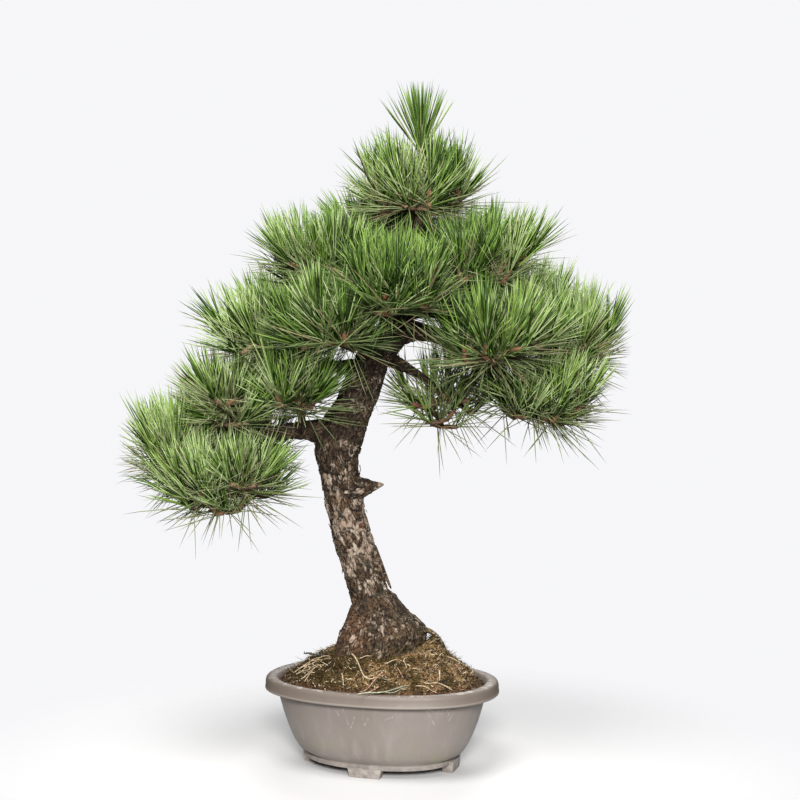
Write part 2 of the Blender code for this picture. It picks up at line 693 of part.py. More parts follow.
def needle_tips(tip, frame, walls, pieces, own, rng):
    """Each needle's tip, by rings, or None where it would leave the space or touch a piece."""
    tips = []
    spread = LEADER_SPREAD if tip == LEADER_TIP else 1.0
    for lean, count, turn in NEEDLE_RINGS:
        for step in range(count):
            azimuth = 2 * math.pi * (step + turn) / count + rng.uniform(-TURN_JITTER, TURN_JITTER)
            tilt = math.radians(lean + rng.uniform(-LEAN_JITTER, LEAN_JITTER)) * spread
            ray = frame @ spoke(azimuth, math.sin(tilt), math.cos(tilt))
            length = NEEDLE_LENGTH * rng.uniform(SHORTEST_NEEDLE, 1.0)
            needle = ray * length * (1 - LEANING_LOSS * math.sin(tilt))
            tips.append(free_tip(tip, needle, walls, pieces, own))
    return tips


def spoke(azimuth, radius, height):
    return Vector((math.cos(azimuth) * radius, math.sin(azimuth) * radius, height))


def free_tip(root, needle, walls, pieces, own):
    """Where a needle from the root ends, shortened as far as it needs to be, or None."""
    for share in NEEDLE_SHARES:
        end = root + needle * share
        if not inside(end, walls, NEEDLE_HALF_WIDTH):
            continue
        if clears(root, end, NEEDLE_HALF_WIDTH, pieces, own):
            return end
    return None


def tuft_solid(tip, frame, tips):
    """A slim core round the shoot's end, with a needle drawn out of each of its upper faces."""
    axis = frame.col[2]
    bm = bmesh.new()
    bm.verts.new(tip - axis * CORE_ROOT)
    for height, radius, turn in CORE_RINGS:
        for step in range(CORE_SIDES):
            azimuth = 2 * math.pi * (step + turn) / CORE_SIDES
            bm.verts.new(tip + frame @ spoke(azimuth, radius, height))
    bmesh.ops.convex_hull(bm, input=bm.verts)
    flat = [edge for edge in bm.edges if edge.calc_face_angle() < 0.01]
    bmesh.ops.dissolve_edges(bm, edges=flat)
    root = min(bm.verts, key=lambda vert: vert.co.dot(axis))
    for face in [face for face in bm.faces if root not in face.verts]:
        centre = face.calc_center_median()
        out = frame.transposed() @ face.normal
        place = claim_tip(tips, frame, tip, centre, out)
        if place is None:
            continue
        poked = bmesh.ops.poke(bm, faces=[face])
        poked["verts"][0].co = place
    bmesh.ops.triangulate(bm, faces=bm.faces)
    return mesh_from(bm, "tuft")


def claim_tip(tips, frame, tip, centre, out):
    """The needle tip that belongs to this face of the core: the one that lies most its way."""
    local = frame.transposed() @ (centre - tip)
    ring = 0 if out.z > CORE_TOP else 1 if out.z > CORE_SPLIT else 2
    start = sum(count for _, count, _ in NEEDLE_RINGS[:ring])
    lean, count, turn = NEEDLE_RINGS[ring]
    azimuth = math.atan2(local.y, local.x) / (2 * math.pi) * count - turn
    return tips[start + round(azimuth) % count]


def mass_solid(mass, home, pieces):
    """One mass of needles: every twig and tuft in a collection, joined by one union."""
    walls = cell_walls(mass)
    places, parents, grown = twig_tree(mass, walls, pieces)
    radii = pipe_radii(places, parents, grown)
    joined = collection(f"{mass}_pieces")
    add_twigs(mass, places, radii, chains(parents, grown), joined)
    add_tufts(mass, places, grown, walls, pieces, joined)
    overrun = (places[1] - places[0]).normalized() * radii[1] * STEM_OVERRUN
    run = [places[0], places[1] + overrun]
    stem = twig_solid(run, [radii[1], radii[1]], facing=heading_of(MASSES[mass][0]))
    obj = add_object(mass, stem, home)
    union = obj.modifiers.new("join", "BOOLEAN")
    union.operand_type = "COLLECTION"
    union.operation = "UNION"
    union.solver = "MANIFOLD"
    union.collection = joined
    apply_modifiers(obj)
    for piece in list(joined.objects):
        bpy.data.objects.remove(piece)
    bpy.data.collections.remove(joined)
    keep_one_body(obj)
    obj.data.materials.clear()
    obj.data.materials.append(material("needles"))
    return obj


def add_twigs(mass, places, radii, runs, home):
    for number, run in enumerate(runs):
        points = [places[index] for index in run]
        points[0] = points[0].lerp(points[1], -TWIG_SINK / (points[1] - points[0]).length)
        thick = [min(radii[run[0]], radii[run[1]])] + [radii[index] for index in run[1:]]
        add_object(f"{mass}_twig", twig_solid(points, thick, GOLDEN_ANGLE * (number + 1)), home)


def add_tufts(mass, places, grown, walls, pieces, home):
    """A tuft at each shoot's tip, from the highest down. Needles keep clear of earlier tufts'."""
    rng = random.Random(mass + " needles")
    placed = list(pieces)
    for index, axis in sorted(grown, key=lambda shoot: -places[shoot[0]].z):
        tip, tuft = places[index], f"{mass} tuft {index}"
        first = axis.orthogonal().normalized()
        first.rotate(Matrix.Rotation(rng.uniform(0, 2 * math.pi), 3, axis))
        frame = Matrix((first, axis.cross(first), axis)).transposed()
        tips = needle_tips(tip, frame, walls, placed, (mass, tuft), rng)
        if sum(end is not None for end in tips) >= FEWEST_NEEDLES:
            add_object(f"{mass}_tuft", tuft_solid(tip, frame, tips), home)
        placed += [(tuft, tip, end, NEEDLE_HALF_WIDTH, 0.0) for end in tips if end is not None]


def pipe_radii(places, parents, grown):
    """Each place's twig radius, from how many shoots it bears."""
    borne = [0] * len(places)
    for index, _ in grown:
        while index is not None:
            borne[index] += 1
            index = parents[index]
    return [twig_radius(count) for count in borne]


def chains(parents, grown):
    """Each twig as a run of indices, from where it leaves an older twig to its shoot's tip."""
    made, covered = [], {0, 1}
    for tip, _ in grown:
        chain = [tip]
        while chain[-1] not in covered:
            chain.append(parents[chain[-1]])
        covered.update(chain)
        made.append(chain[::-1])
    return made


def keep_one_body(obj):
    """Drops loose scraps and sealed hollows, which leaves the largest closed body."""
    bm = bmesh.new()
    bm.from_mesh(obj.data)
    left = set(bm.faces)
    bodies = []
    while left:
        body, waiting = set(), [left.pop()]
        while waiting:
            face = waiting.pop()
            body.add(face)
            sound = [edge for edge in face.edges if len(edge.link_faces) == 2]
            near = {other for edge in sound for other in edge.link_faces} & left
            left -= near
            waiting += near
        bodies.append(body)
    largest = max(bodies, key=len)
    scraps = [face for body in bodies if body is not largest for face in body]
    bmesh.ops.delete(bm, geom=scraps, context="FACES")
    bm.to_mesh(obj.data)
    bm.free()


def centre_on_origin(objects):
    """Moves the plant sideways, so that the origin is under the middle of its whole extent."""
    points = [vert.co for obj in objects for vert in obj.data.vertices]
    middle = Vector()
    for axis in (0, 1):
        places = [point[axis] for point in points]
        middle[axis] = (min(places) + max(places)) / 2
    for obj in objects:
        obj.data.transform(Matrix.Translation(-middle))


def main():
    clear_scene()
    plant = collection("black_pine_bonsai")
    cutters = collection("cutters")
    objects = [pot_solid(plant, cutters), soil_solid(plant), trunk_solid(plant)]
    for name in LIMBS:
        objects.append(limb_solid(name, plant, cutters))
    root = bpy.data.objects["loop_root"]
    around_soil = add_object("around_soil", bpy.data.objects["soil_mound"].data.copy(), cutters)
    around_soil.data.transform(Matrix.Translation(UP * GAP))
    add_boolean(root, as_cutter(around_soil), "DIFFERENCE")
    apply_modifiers(root)
    pieces = obstacles()
    for mass in MASSES:
        objects.append(mass_solid(mass, plant, pieces))
    for obj in list(cutters.objects):
        bpy.data.objects.remove(obj)
    centre_on_origin(objects)


main()
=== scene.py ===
"""Looks of a Japanese black pine bonsai in its oval plastic training pot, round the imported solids.

Metres, +Z up. The plant is laid out in the pot's own frame, whose origin lies on the ground under
the middle of the pot, and each piece is then moved to where the solids stand. Limbs, twigs and
shoots grow by the same seeded rule as the solids, and the twigs are carried on to finer ones.
"""

import math
import random

import bmesh
import bpy
import numpy as np
from mathutils import Matrix, Vector, noise
from mathutils.bvhtree import BVHTree


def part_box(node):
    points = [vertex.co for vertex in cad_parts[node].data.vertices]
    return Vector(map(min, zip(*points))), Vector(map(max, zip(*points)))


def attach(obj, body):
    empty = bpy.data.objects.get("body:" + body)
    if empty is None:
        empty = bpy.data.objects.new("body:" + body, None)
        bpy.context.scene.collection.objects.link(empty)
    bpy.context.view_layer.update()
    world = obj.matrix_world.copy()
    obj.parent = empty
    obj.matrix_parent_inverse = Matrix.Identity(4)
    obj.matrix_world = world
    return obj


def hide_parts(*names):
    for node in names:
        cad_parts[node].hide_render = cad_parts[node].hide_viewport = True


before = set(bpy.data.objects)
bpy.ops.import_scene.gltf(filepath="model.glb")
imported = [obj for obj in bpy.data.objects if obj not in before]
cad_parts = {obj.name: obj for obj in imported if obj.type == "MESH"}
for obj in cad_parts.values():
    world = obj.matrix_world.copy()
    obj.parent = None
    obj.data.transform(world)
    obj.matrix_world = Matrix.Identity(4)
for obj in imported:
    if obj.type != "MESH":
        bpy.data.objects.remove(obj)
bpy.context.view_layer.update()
POT_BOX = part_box("pot")
POT_PLACE = Vector(((POT_BOX[0].x + POT_BOX[1].x) / 2, (POT_BOX[0].y + POT_BOX[1].y) / 2, 0))
noise.seed_set(1796073862)  # any other seed gives the bark's plates another arrangement

GAP = 0.0003
GOLDEN_ANGLE = math.pi * (3 - math.sqrt(5))
UP = Vector((0, 0, 1))
ANY_WAY = ((-1, 1), (-1, 1), (-1, 1))

# Oval pot, with radii along its long axis.
POT_RADIUS = 0.1272
POT_OVAL = 0.71
OVAL_POWER = 2.2
POT_YAW = math.radians(-17)
POT_HEIGHT = 0.0945
POT_WALL = 0.0036
POT_STEPS = 224
FOOT_HEIGHT = 0.0085
FOOT_WIDTH = 0.037
FOOT_DEPTH = 0.013
FOOT_TAPER = 0.86
# The feet at the front and back, and those at the ends, which stand a little proud: how far each is
# set in, its share of the width, and how much of the pot's floor it reaches through.
SIDE_FOOT = (0.0050, 1.0, 0.5)
END_FOOT = (0.0026, 0.85, 0.95)
LIP_DROP = 0.0130
LIP_INNER = 0.1136
BODY_TOP = 0.1137
BODY_FOOT = 0.0800
BODY_RINGS = 16
BODY_CURVE = 0.50
BASE_BAND = 0.0055
BASE_BAND_PROUD = 0.0022
DRAIN_RADIUS = 0.0080
DRAIN_OFFSET = 0.0360
POT_EDGE = 0.0009  # how round the moulded edges are
ROUNDED_FROM = math.radians(38)
SHARP_FROM = math.radians(50)

# Soil mound.
SOIL_GAP = 0.0004
SOIL_AT_WALL = 0.0895
GROUND = 0.1180
PLATEAU_CENTRE = (-0.003, 0.0)
BANK_RADII = (0.061, 0.054)
BANK_RISE = 0.013
COLLAR_RISE = 0.006  # how far the moss climbs the foot of the trunk
COLLAR_SHARE = 0.18
HUMP = (0.056, -0.012, 0.012, 0.0065)  # moss under the loop root: x, y, rise and width
MOUND_SIDES = 300
MOUND_RINGS = 96
# Bumps of the mound: noise's scale per metre, its octaves, how high it goes and which draw it is.
MOUND_BUMPS = ((60, 2, 0.0026, 0), (130, 2, 0.0016, 5), (260, 4, 0.0013, 3))
FIBRES = 9000
FIBRE_SUNK = 0.0006
FIBRE_PROFILE = ((0.0, 1.0), (0.5, 0.8))  # share of the length, share of the width
BITS = 540  # how many of the fibres are short pale bits of straw
BIT_WIDTH = 1.4  # how much wider those are
CRUMBS = 1300
LITTER_LIFT = 0.0016

# Trunk stations from the ground cut to the tip of the leader: x, y, z, radius.
TRUNK = (
    (-0.006, 0.000, GROUND + GAP, 0.0445),
    (-0.002, 0.000, 0.1330, 0.0475),
    (0.0010, 0.000, 0.1490, 0.0450),
    (-0.0025, 0.000, 0.1630, 0.0345),
    (-0.0070, 0.000, 0.1745, 0.0262),
    (-0.0122, 0.000, 0.1840, 0.0216),
    (-0.0205, 0.000, 0.2100, 0.0212),
    (-0.0362, -0.002, 0.2655, 0.0207),
    (-0.0440, -0.004, 0.3150, 0.0216),
    (-0.0450, -0.005, 0.3480, 0.0256),
    (-0.0266, -0.002, 0.3900, 0.0206),
    (-0.0095, 0.003, 0.4330, 0.0188),
    (0.0125, 0.006, 0.4660, 0.0176),
    (0.0240, 0.010, 0.5000, 0.0112),
    (0.0350, 0.012, 0.5500, 0.0078),
    (0.0405, 0.010, 0.5820, 0.0050),
)
TRUNK_RINGS_PER_STATION = 2
FLARE_LOBES = 5
FLARE_DEPTH = 0.09
FLARE_TURN = 0.6
FLARE_TOP = 0.180
LIMB_POINTS = 6
LIMB_TAPER = 0.8

# Boughs: parent, where on it (a height on the trunk, a share of the length on a bough),
# the tip, how far the middle bows, the radius at the base and at the tip.
BOUGHS = {
    "bough_left_low": ("trunk", 0.352, (-0.198, -0.006, 0.310), (0, 0, 0.047), 0.0112, 0.0050),
    "bough_left_inner": ("bough_left_low", 0.26, (-0.083, -0.030, 0.376), (0, -0.004, 0), 0.005, 0.0036),
    "bough_left_upper": ("bough_left_low", 0.58, (-0.151, -0.014, 0.366), (0.004, 0, 0), 0.0052, 0.0038),
    "bough_left_drop": ("bough_left_low", 0.62, (-0.158, -0.036, 0.308), (0, -0.004, 0), 0.0050, 0.0036),
    "bough_left_rear": ("bough_left_low", 0.45, (-0.146, 0.040, 0.342), (0, 0, 0.006), 0.0055, 0.0040),
    "bough_mid_left": ("trunk", 0.424, (-0.100, -0.012, 0.436), (0, 0, -0.004), 0.0085, 0.0048),
    "bough_mid_front": ("trunk", 0.446, (-0.036, -0.046, 0.454), (0, 0, 0.004), 0.0062, 0.0040),
    "bough_mid_rear": ("trunk", 0.458, (-0.058, 0.052, 0.466), (0, 0, 0.006), 0.0070, 0.0044),
    "bough_upper_left": ("trunk", 0.502, (-0.030, -0.010, 0.514), (0, 0, 0.005), 0.0066, 0.0042),
    "bough_front": ("trunk", 0.474, (0.013, -0.046, 0.486), (0, -0.004, 0), 0.0066, 0.0042),
    "bough_right": ("trunk", 0.464, (0.150, -0.020, 0.398), (0, 0, 0.042), 0.0108, 0.0052),
    "bough_right_front": ("bough_right", 0.45, (0.104, -0.054, 0.440), (0, 0, 0.004), 0.0056, 0.0040),
    "bough_right_end": ("bough_right", 0.74, (0.184, 0.014, 0.428), (0, 0, 0.008), 0.0050, 0.0038),
    "bough_right_rear": ("trunk", 0.486, (0.110, 0.058, 0.474), (0, 0, 0.010), 0.0076, 0.0046),
    "bough_upper_right": ("trunk", 0.512, (0.080, -0.016, 0.518), (0, 0, 0.008), 0.0064, 0.0042),
    "bough_back_low": ("trunk", 0.440, (0.058, 0.048, 0.404), (0, 0, 0.008), 0.0072, 0.0042),
    "bough_crown_rear": ("trunk", 0.505, (0.058, 0.070, 0.516), (0, 0, 0.006), 0.0062, 0.0040),
    "bough_back_middle": ("trunk", 0.470, (-0.004, 0.058, 0.482), (0, 0, 0.004), 0.0064, 0.0042),
    "bough_upper_rear": ("trunk", 0.536, (0.014, 0.046, 0.550), (0, 0, 0.004), 0.0050, 0.0036),
}
STUB = ("trunk", 0.294, (0.0025, -0.010, 0.3020), (0, 0, 0.001), 0.0185, 0.0022)
LOOP_ROOT = ("trunk", 0.137, (0.0690, -0.010, 0.1190), (0.0240, 0, 0.0370), 0.0034, 0.0026)
LIMBS = {**BOUGHS, "dead_stub": STUB, "loop_root": LOOP_ROOT}

# Masses of needles: the limb whose tip bears it, the middle and the half sizes of the space
# that its shoot tips fill, and how many main shoots it has.
MASSES = {
    "needles_apex": ("trunk", (0.038, 0.006, 0.612), (0.030, 0.034, 0.014), 8),
    "needles_upper_left": ("bough_upper_left", (-0.058, -0.020, 0.530), (0.030, 0.032, 0.012), 8),
    "needles_upper_rear": ("bough_upper_rear", (0.002, 0.066, 0.568), (0.034, 0.026, 0.014), 7),
    "needles_front": ("bough_front", (0.015, -0.076, 0.505), (0.030, 0.024, 0.014), 7),
    "needles_upper_right": ("bough_upper_right", (0.108, -0.030, 0.532), (0.030, 0.030, 0.014), 8),
    "needles_crown_rear": ("bough_crown_rear", (0.072, 0.096, 0.536), (0.034, 0.026, 0.016), 7),
    "needles_back_middle": ("bough_back_middle", (-0.010, 0.088, 0.502), (0.034, 0.024, 0.014), 7),
    "needles_right_rear": ("bough_right_rear", (0.150, 0.076, 0.480), (0.034, 0.030, 0.018), 8),
    "needles_right_front": ("bough_right_front", (0.120, -0.080, 0.452), (0.032, 0.024, 0.014), 7),
    "needles_right_end": ("bough_right_end", (0.200, 0.006, 0.450), (0.024, 0.034, 0.020), 8),
    "needles_right_low": ("bough_right", (0.174, -0.026, 0.388), (0.030, 0.032, 0.010), 7),
    "needles_back_low": ("bough_back_low", (0.072, 0.062, 0.390), (0.028, 0.028, 0.024), 7),
    "needles_mid_left": ("bough_mid_left", (-0.120, -0.016, 0.452), (0.028, 0.034, 0.012), 8),
    "needles_mid_front": ("bough_mid_front", (-0.052, -0.070, 0.468), (0.026, 0.020, 0.012), 6),
    "needles_mid_rear": ("bough_mid_rear", (-0.094, 0.080, 0.478), (0.034, 0.030, 0.016), 7),
    "needles_left_inner": ("bough_left_inner", (-0.086, -0.040, 0.404), (0.016, 0.018, 0.008), 5),
    "needles_left_upper": ("bough_left_upper", (-0.158, -0.014, 0.386), (0.030, 0.030, 0.010), 8),
    "needles_left_outer": ("bough_left_low", (-0.212, -0.004, 0.334), (0.018, 0.030, 0.018), 8),
    "needles_left_low": ("bough_left_drop", (-0.162, -0.052, 0.300), (0.032, 0.024, 0.010), 7),
    "needles_left_rear": ("bough_left_rear", (-0.166, 0.060, 0.344), (0.032, 0.026, 0.014), 7),
}
# The masses whose needles are joined into one piece.
GROUPS = {
    "left": [mass for mass in MASSES if "_left" in mass and "upper_left" not in mass],
    "right": [mass for mass in MASSES if "_right" in mass],
    "crown": ["needles_apex", "needles_upper_left", "needles_upper_rear", "needles_front"],
    "rear": [
        "needles_crown_rear",
        "needles_back_middle",
        "needles_back_low",
        "needles_mid_front",
        "needles_mid_rear",
    ],
}
# The space that each mass keeps to, how its shoots are spread there and how they lean.
CELL_RISE = 0.012
CELL_MARGIN = 0.045
CELL_GAP = 0.0006
NEAREST_SHOOT = 0.78
LOWEST_SHOOT = 1.7
UPWARD, OUTWARD, ONWARD, STRAY = 0.90, 0.55, 0.42, 0.14

# The mass's stem, its twigs and how they find a free way to each shoot.
STEM_LENGTH = 0.016
STEM_TURN = 0.8
SHOOT_LENGTH = 0.018
TWIG_STEP = 0.026
BEND_PLACE = 0.55
HUB_PULL = 0.3
TWIG_LIFTS = (0.004, 0.014, -0.008, 0.024)
TWIG_MARGIN = 0.003
SHARPEST_TURN = math.radians(80)
ROOTS_TRIED = 4
SHOOT_RADIUS = 0.0020
TWIG_THICKNESS = 0.0029
PIPE_POWER = 0.33
LEADER_TIP = Vector((0.0425, 0.006, 0.6635))
LEADER_AXIS = Vector((-0.03, 0, 1)).normalized()
LIMB_CLEARANCE = 0.0012
CORE_ROOT = 0.013
CORE_THICKNESS = 0.0036

# The finer shoots, which grow by the same rule through a somewhat larger space.
FINER_SHARE = 2.2  # how many for each main shoot
FINER_TRIES = 260
FINER_REACH = (0.020, 0.020, 0.020)
FINER_SPAN = (-0.75, 0.35)  # the lowest and highest, as shares of that space's half height
FINER_WAY = 0.050  # the longest bare twig
TUFT_SPACING = 0.0195
LIMB_MARKS = (0.72, 0.86)  # where on a bough finer twigs may leave it
LEADER_MARKS = (0.545, 0.565)  # and at which heights on the trunk

# Needles: for each age, how many, the stretch of the shoot that bears them (distances back from
# its tip), their lean from it at both ends of the stretch, their length, how far they turn up with
# the shoot, curl in to it and sag, how thick they are, and the share whose lowest third is given
# the darkest green as painted shade at the needle's base.
YOUNG = {
    "count": 46,
    "span": (0.012, -0.002),
    "lean": (25, 2),
    "length": (0.058, 0.072),
    "rise": 0.95,
    "curl": 0.06,
    "sag": 0.02,
    "thick": 1.0,
    "painted_shade_low": 0.5,
}
OLD = {
    "count": 38,
    "span": (0.046, 0.014),
    "lean": (84, 30),
    "length": (0.052, 0.076),
    "rise": 0.55,
    "curl": 0.06,
    "sag": 0.16,
    "thick": 0.72,
    "painted_shade_low": 0.0,
}
FINER_YOUNG = {**YOUNG, "count": 30, "length": (0.050, 0.066)}
FINER_OLD = {**OLD, "count": 26, "span": (0.036, 0.014)}
LEADER_YOUNG = {
    **YOUNG,
    "count": 104,
    "lean": (31, 3),
    "length": (0.064, 0.076),
    "rise": 0.0,
    "painted_shade_low": 0.2,
}
LEAN_SPREAD = 9.0
LEAN_POWER = 1.35
NEEDLE_WIDTH = (0.00122, 0.00158)
NEEDLE_PROFILE = ((0.0, 0.60), (0.30, 1.0), (0.72, 0.85))  # share of the length, share of the width
TURN_SPREAD = 0.25
PAIR_SPREAD = 0.10
CROOK_SPREAD = 0.06
DROOP = 0.012  # needles whose tip lies that much lower than their root point down
DROOPING_KEPT = 0.45  # the share of those that haven't fallen yet
NEEDLE_FOOT = 0.008  # how much of a needle is let off at its root when it is tested against limbs
THREE_SIDED = 1.15  # a three-sided needle looks that much thinner than it is wide
NEEDLE_CLEARANCE = 0.001
NECK_SPAN = (0.025, 0.003)  # distances back from the shoot's tip
NECK_RINGS = 16
# Sprays this far out from the middle, or above this height, are of the lighter greens, as painted light on
# the crown's sides and top.
CROWN_MIDDLE = 0.02
OUTER_FROM = 0.11
TOP_FROM = 0.585
# Masses deep in the shade have fewer needles, as a share, and get light greens as painted light in that
# shade.
THINNED = {"needles_back_low": 0.40}
CROWN_REACH = ((-0.281, -0.170, 0.200), (0.266, 0.172, 0.7315))  # the corners that needles stay in

# Plain colours, linear, dealt out by spray.
# Among the young greens the pale greyish fourth is a painted highlight, and the near-black last is painted
# shade.
YOUNG_GREENS_LIT_AND_SHADED = (
    (0.142, 0.222, 0.044),
    (0.108, 0.186, 0.030),
    (0.052, 0.104, 0.014),
    (0.236, 0.304, 0.130),
    (0.010, 0.026, 0.001),
)
OLD_GREENS = ((0.142, 0.182, 0.068), (0.082, 0.118, 0.036), (0.190, 0.215, 0.105), (0.170, 0.140, 0.072))
NECK_BROWNS = ((0.150, 0.064, 0.032), (0.120, 0.064, 0.036), (0.215, 0.130, 0.078))
# The darkest two moss colours also serve as painted shade on the fibres.
MOSS_COLOURS = (
    (0.018, 0.011, 0.002),
    (0.080, 0.055, 0.017),
    (0.200, 0.128, 0.055),
    (0.580, 0.490, 0.350),
    (0.034, 0.014, 0.004),
)
LITTER_COLOURS = (
    (0.400, 0.310, 0.200),
    (0.345, 0.205, 0.140),
    (0.275, 0.295, 0.210),
    (0.038, 0.042, 0.030),
)
CRUMB_COLOURS = ((0.014, 0.010, 0.006), (0.036, 0.024, 0.014), (0.120, 0.090, 0.055))


# Shader helpers


def join(socket, value):
    """Links the value to the socket if it is another socket, else sets it."""
    if isinstance(value, bpy.types.NodeSocket):
        socket.id_data.links.new(value, socket)
    else:
        socket.default_value = value


def node(kind, inputs, beside=None, **settings):
    """A new node in the tree of the node or socket beside it, else of the first socket it reads."""
    read = [value for value in inputs.values() if isinstance(value, bpy.types.NodeSocket)]
    made = (beside or read[0]).id_data.nodes.new("ShaderNode" + kind)
    for name, value in settings.items():
        setattr(made, name, value)
    for name, value in inputs.items():
        join(made.inputs[name], value)
    return made


def number(operation, *values, clamp=False):
    """The result of an operation on numbers."""
    return node("Math", dict(enumerate(values)), operation=operation, use_clamp=clamp).outputs[0]


def times(first, second):
    return number("MULTIPLY", first, second)


def vector(operation, first, second=(0, 0, 0)):
    """The result of an operation on vectors: another vector, or a number where it makes one."""
    inputs = {0: first, "Scale" if operation == "SCALE" else 1: second}
    made = node("VectorMath", inputs, operation=operation)
    return made.outputs["Value" if operation in ("DOT_PRODUCT", "DISTANCE", "LENGTH") else "Vector"]


def object_place(beside):
    return node("TexCoord", {}, beside).outputs["Object"]


def parts_of(whole):
    """The three numbers of a vector."""
    made = node("SeparateXYZ", {"Vector": whole})
    return [made.outputs[axis] for axis in "XYZ"]


def blend(share, first, second):
    """A colour between two, by the share."""
    made = node("Mix", {}, share, data_type="RGBA")
    for index, value in ((0, share), (6, first), (7, second)):
        join(made.inputs[index], (*value, 1) if isinstance(value, tuple) else value)
    return made.outputs[2]


def layered(colour, *layers):
    """The colour with others laid over it in turn, each a share and a colour."""
    for share, over in layers:
        colour = blend(share, colour, over)
    return colour


def steps(value, *stops):
    """A grey that follows the value through the stops, each a place and a brightness."""
    low, high = stops[0][0], stops[-1][0]
    spread = node("MapRange", {"Value": value, "From Min": low, "From Max": high})
    made = node("ValToRGB", {"Fac": spread.outputs[0]})
    elements = made.color_ramp.elements
    for index, (place, brightness) in enumerate(stops):
        if 0 < index < len(stops) - 1:
            element = elements.new((place - low) / (high - low))
        else:
            element = elements[0 if index == 0 else -1]
        element.color = (brightness, brightness, brightness, 1)
    return made.outputs["Color"]


def grain(where, scale, detail, stretch=(1, 1, 1)):
    """Noise at that scale, per metre, squeezed by the stretch."""
    placed = node("Mapping", {"Vector": where, "Scale": stretch})
    inputs = {"Vector": placed.outputs["Vector"], "Scale": scale, "Detail": detail}
    return node("TexNoise", inputs).outputs["Fac"]


def spots(where, scale, detail, *stops, stretch=(1, 1, 1)):
    """The same noise, made harder by the stops."""
    return steps(grain(where, scale, detail, stretch), *stops)


def warped(where, scale, reach, detail=3):
    """The place shifted by noise, so that what is drawn there is ragged."""
    made = node("TexNoise", {"Vector": where, "Scale": scale, "Detail": detail})
    centred = vector("SUBTRACT", made.outputs["Color"], (0.5, 0.5, 0.5))
    return vector("ADD", where, vector("SCALE", centred, reach))


def new_material(name, roughness, colour=(0.5, 0.5, 0.5), shine=0.5):
    """A material and its main shader."""
    made = bpy.data.materials.new(name)
    made.use_nodes = True
    shader = made.node_tree.nodes["Principled BSDF"]
    shader.inputs["Base Color"].default_value = (*colour, 1)
    shader.inputs["Roughness"].default_value = roughness
    shader.inputs["Specular IOR Level"].default_value = shine
    return made, shader


def coat(shader, colour, relief=None):
    """Gives the shader its colour and, from a height, a strength and a distance, its bumps."""
    join(shader.inputs["Base Color"], colour)
    if relief:
        bump = node("Bump", dict(zip(("Height", "Strength", "Distance"), relief)))
        join(shader.inputs["Normal"], bump.outputs["Normal"])


def plain_materials(name, colours, roughness, shine):
    rows = enumerate(colours)
    return [new_material(f"{name}_{index}", roughness, colour, shine)[0] for index, colour in rows]


def mottled_materials(name, colours, roughness, shine):
    """One material a colour, each mottled to a darker shade."""
    made = []
    for index, colour in enumerate(colours):
        material, shader = new_material(f"{name}_{index}", roughness, colour, shine)
        mottle = spots(object_place(shader), 420, 4, (0.40, 0), (0.62, 0.8))
        coat(shader, blend(mottle, colour, tuple(part * MOTTLE_SHADE for part in colour)))
        made.append(material)
    return made


# Materials, with linear colours; a pair of them is what a surface varies between


MOTTLE_SHADE = 0.45
TAUPE = ((0.156, 0.133, 0.118), (0.188, 0.163, 0.148))
POT_STREAK = (0.235, 0.210, 0.194)
POT_SCRATCH = (0.42, 0.39, 0.36)
POT_STAIN = (0.195, 0.198, 0.112)
POT_WORN = (0.290, 0.266, 0.242)
POT_PORES = (0.130, 0.110, 0.096)
LIP_BROWN = (0.096, 0.075, 0.060)
# Lighter band on the lip's small lower step: painted highlight.
LIP_EDGE_HIGHLIGHT = (0.200, 0.176, 0.157)
LIP_WORN = (0.26, 0.235, 0.21)
# Scratches on the front of the pot: millimetres across and up of their ends.
SCRATCHES = (
    ((-38.6, 76.0), (-33.0, 59.0)),
    ((-27.0, 69.0), (-31.2, 55.0)),
    ((-44.6, 73.0), (-43.2, 68.5)),
    ((-12.6, 68.0), (-16.8, 60.5)),
    ((4.0, 67.4), (12.5, 70.7)),
    ((46.7, 77.1), (56.0, 60.7)),
    ((48.8, 78.1), (62.4, 73.0)),
    ((69.8, 64.5), (74.8, 72.9)),
    ((-61.1, 92.0), (-53.2, 91.0)),
    ((-40.8, 91.5), (-32.9, 90.5)),
)
BARK_BROWN = ((0.008, 0.004, 0.002), (0.122, 0.076, 0.043))
BARK_RUST = ((0.026, 0.012, 0.006), (0.160, 0.086, 0.046))
BARK_MOSSY = ((0.026, 0.020, 0.008), (0.160, 0.122, 0.062))
# Darker bark high on the trunk: painted shade that the crown casts.
BARK_UPPER_SHADE = ((0.004, 0.002, 0.001), (0.070, 0.048, 0.030))
BARK_LICHEN = (0.080, 0.074, 0.052)
SCALE_RIM = (0.230, 0.185, 0.138)
PLATE_PALE = ((0.330, 0.275, 0.220), (0.235, 0.172, 0.128))
PLATE_STREAK = (0.090, 0.062, 0.044)
BARK_CRACK = (0.005, 0.003, 0.002)
FLAKE_SCALE = 150  # scales of bark per metre
TWIG_BROWN = ((0.026, 0.016, 0.010), (0.120, 0.076, 0.048))
MOSS_OLIVE = ((0.008, 0.005, 0.001), (0.072, 0.050, 0.014))
MOSS_TAN = ((0.024, 0.013, 0.005), (0.215, 0.134, 0.060))
# Dark reddish soil by the wall: the soil's own red, darkened as painted shade of the wall.
SOIL_RED_AND_WALL_SHADE = ((0.012, 0.005, 0.003), (0.085, 0.040, 0.022))
SOIL_SPECK = (0.23, 0.195, 0.14)
FLOOR_GREY = ((0.47, 0.47, 0.473), (0.49, 0.49, 0.493))


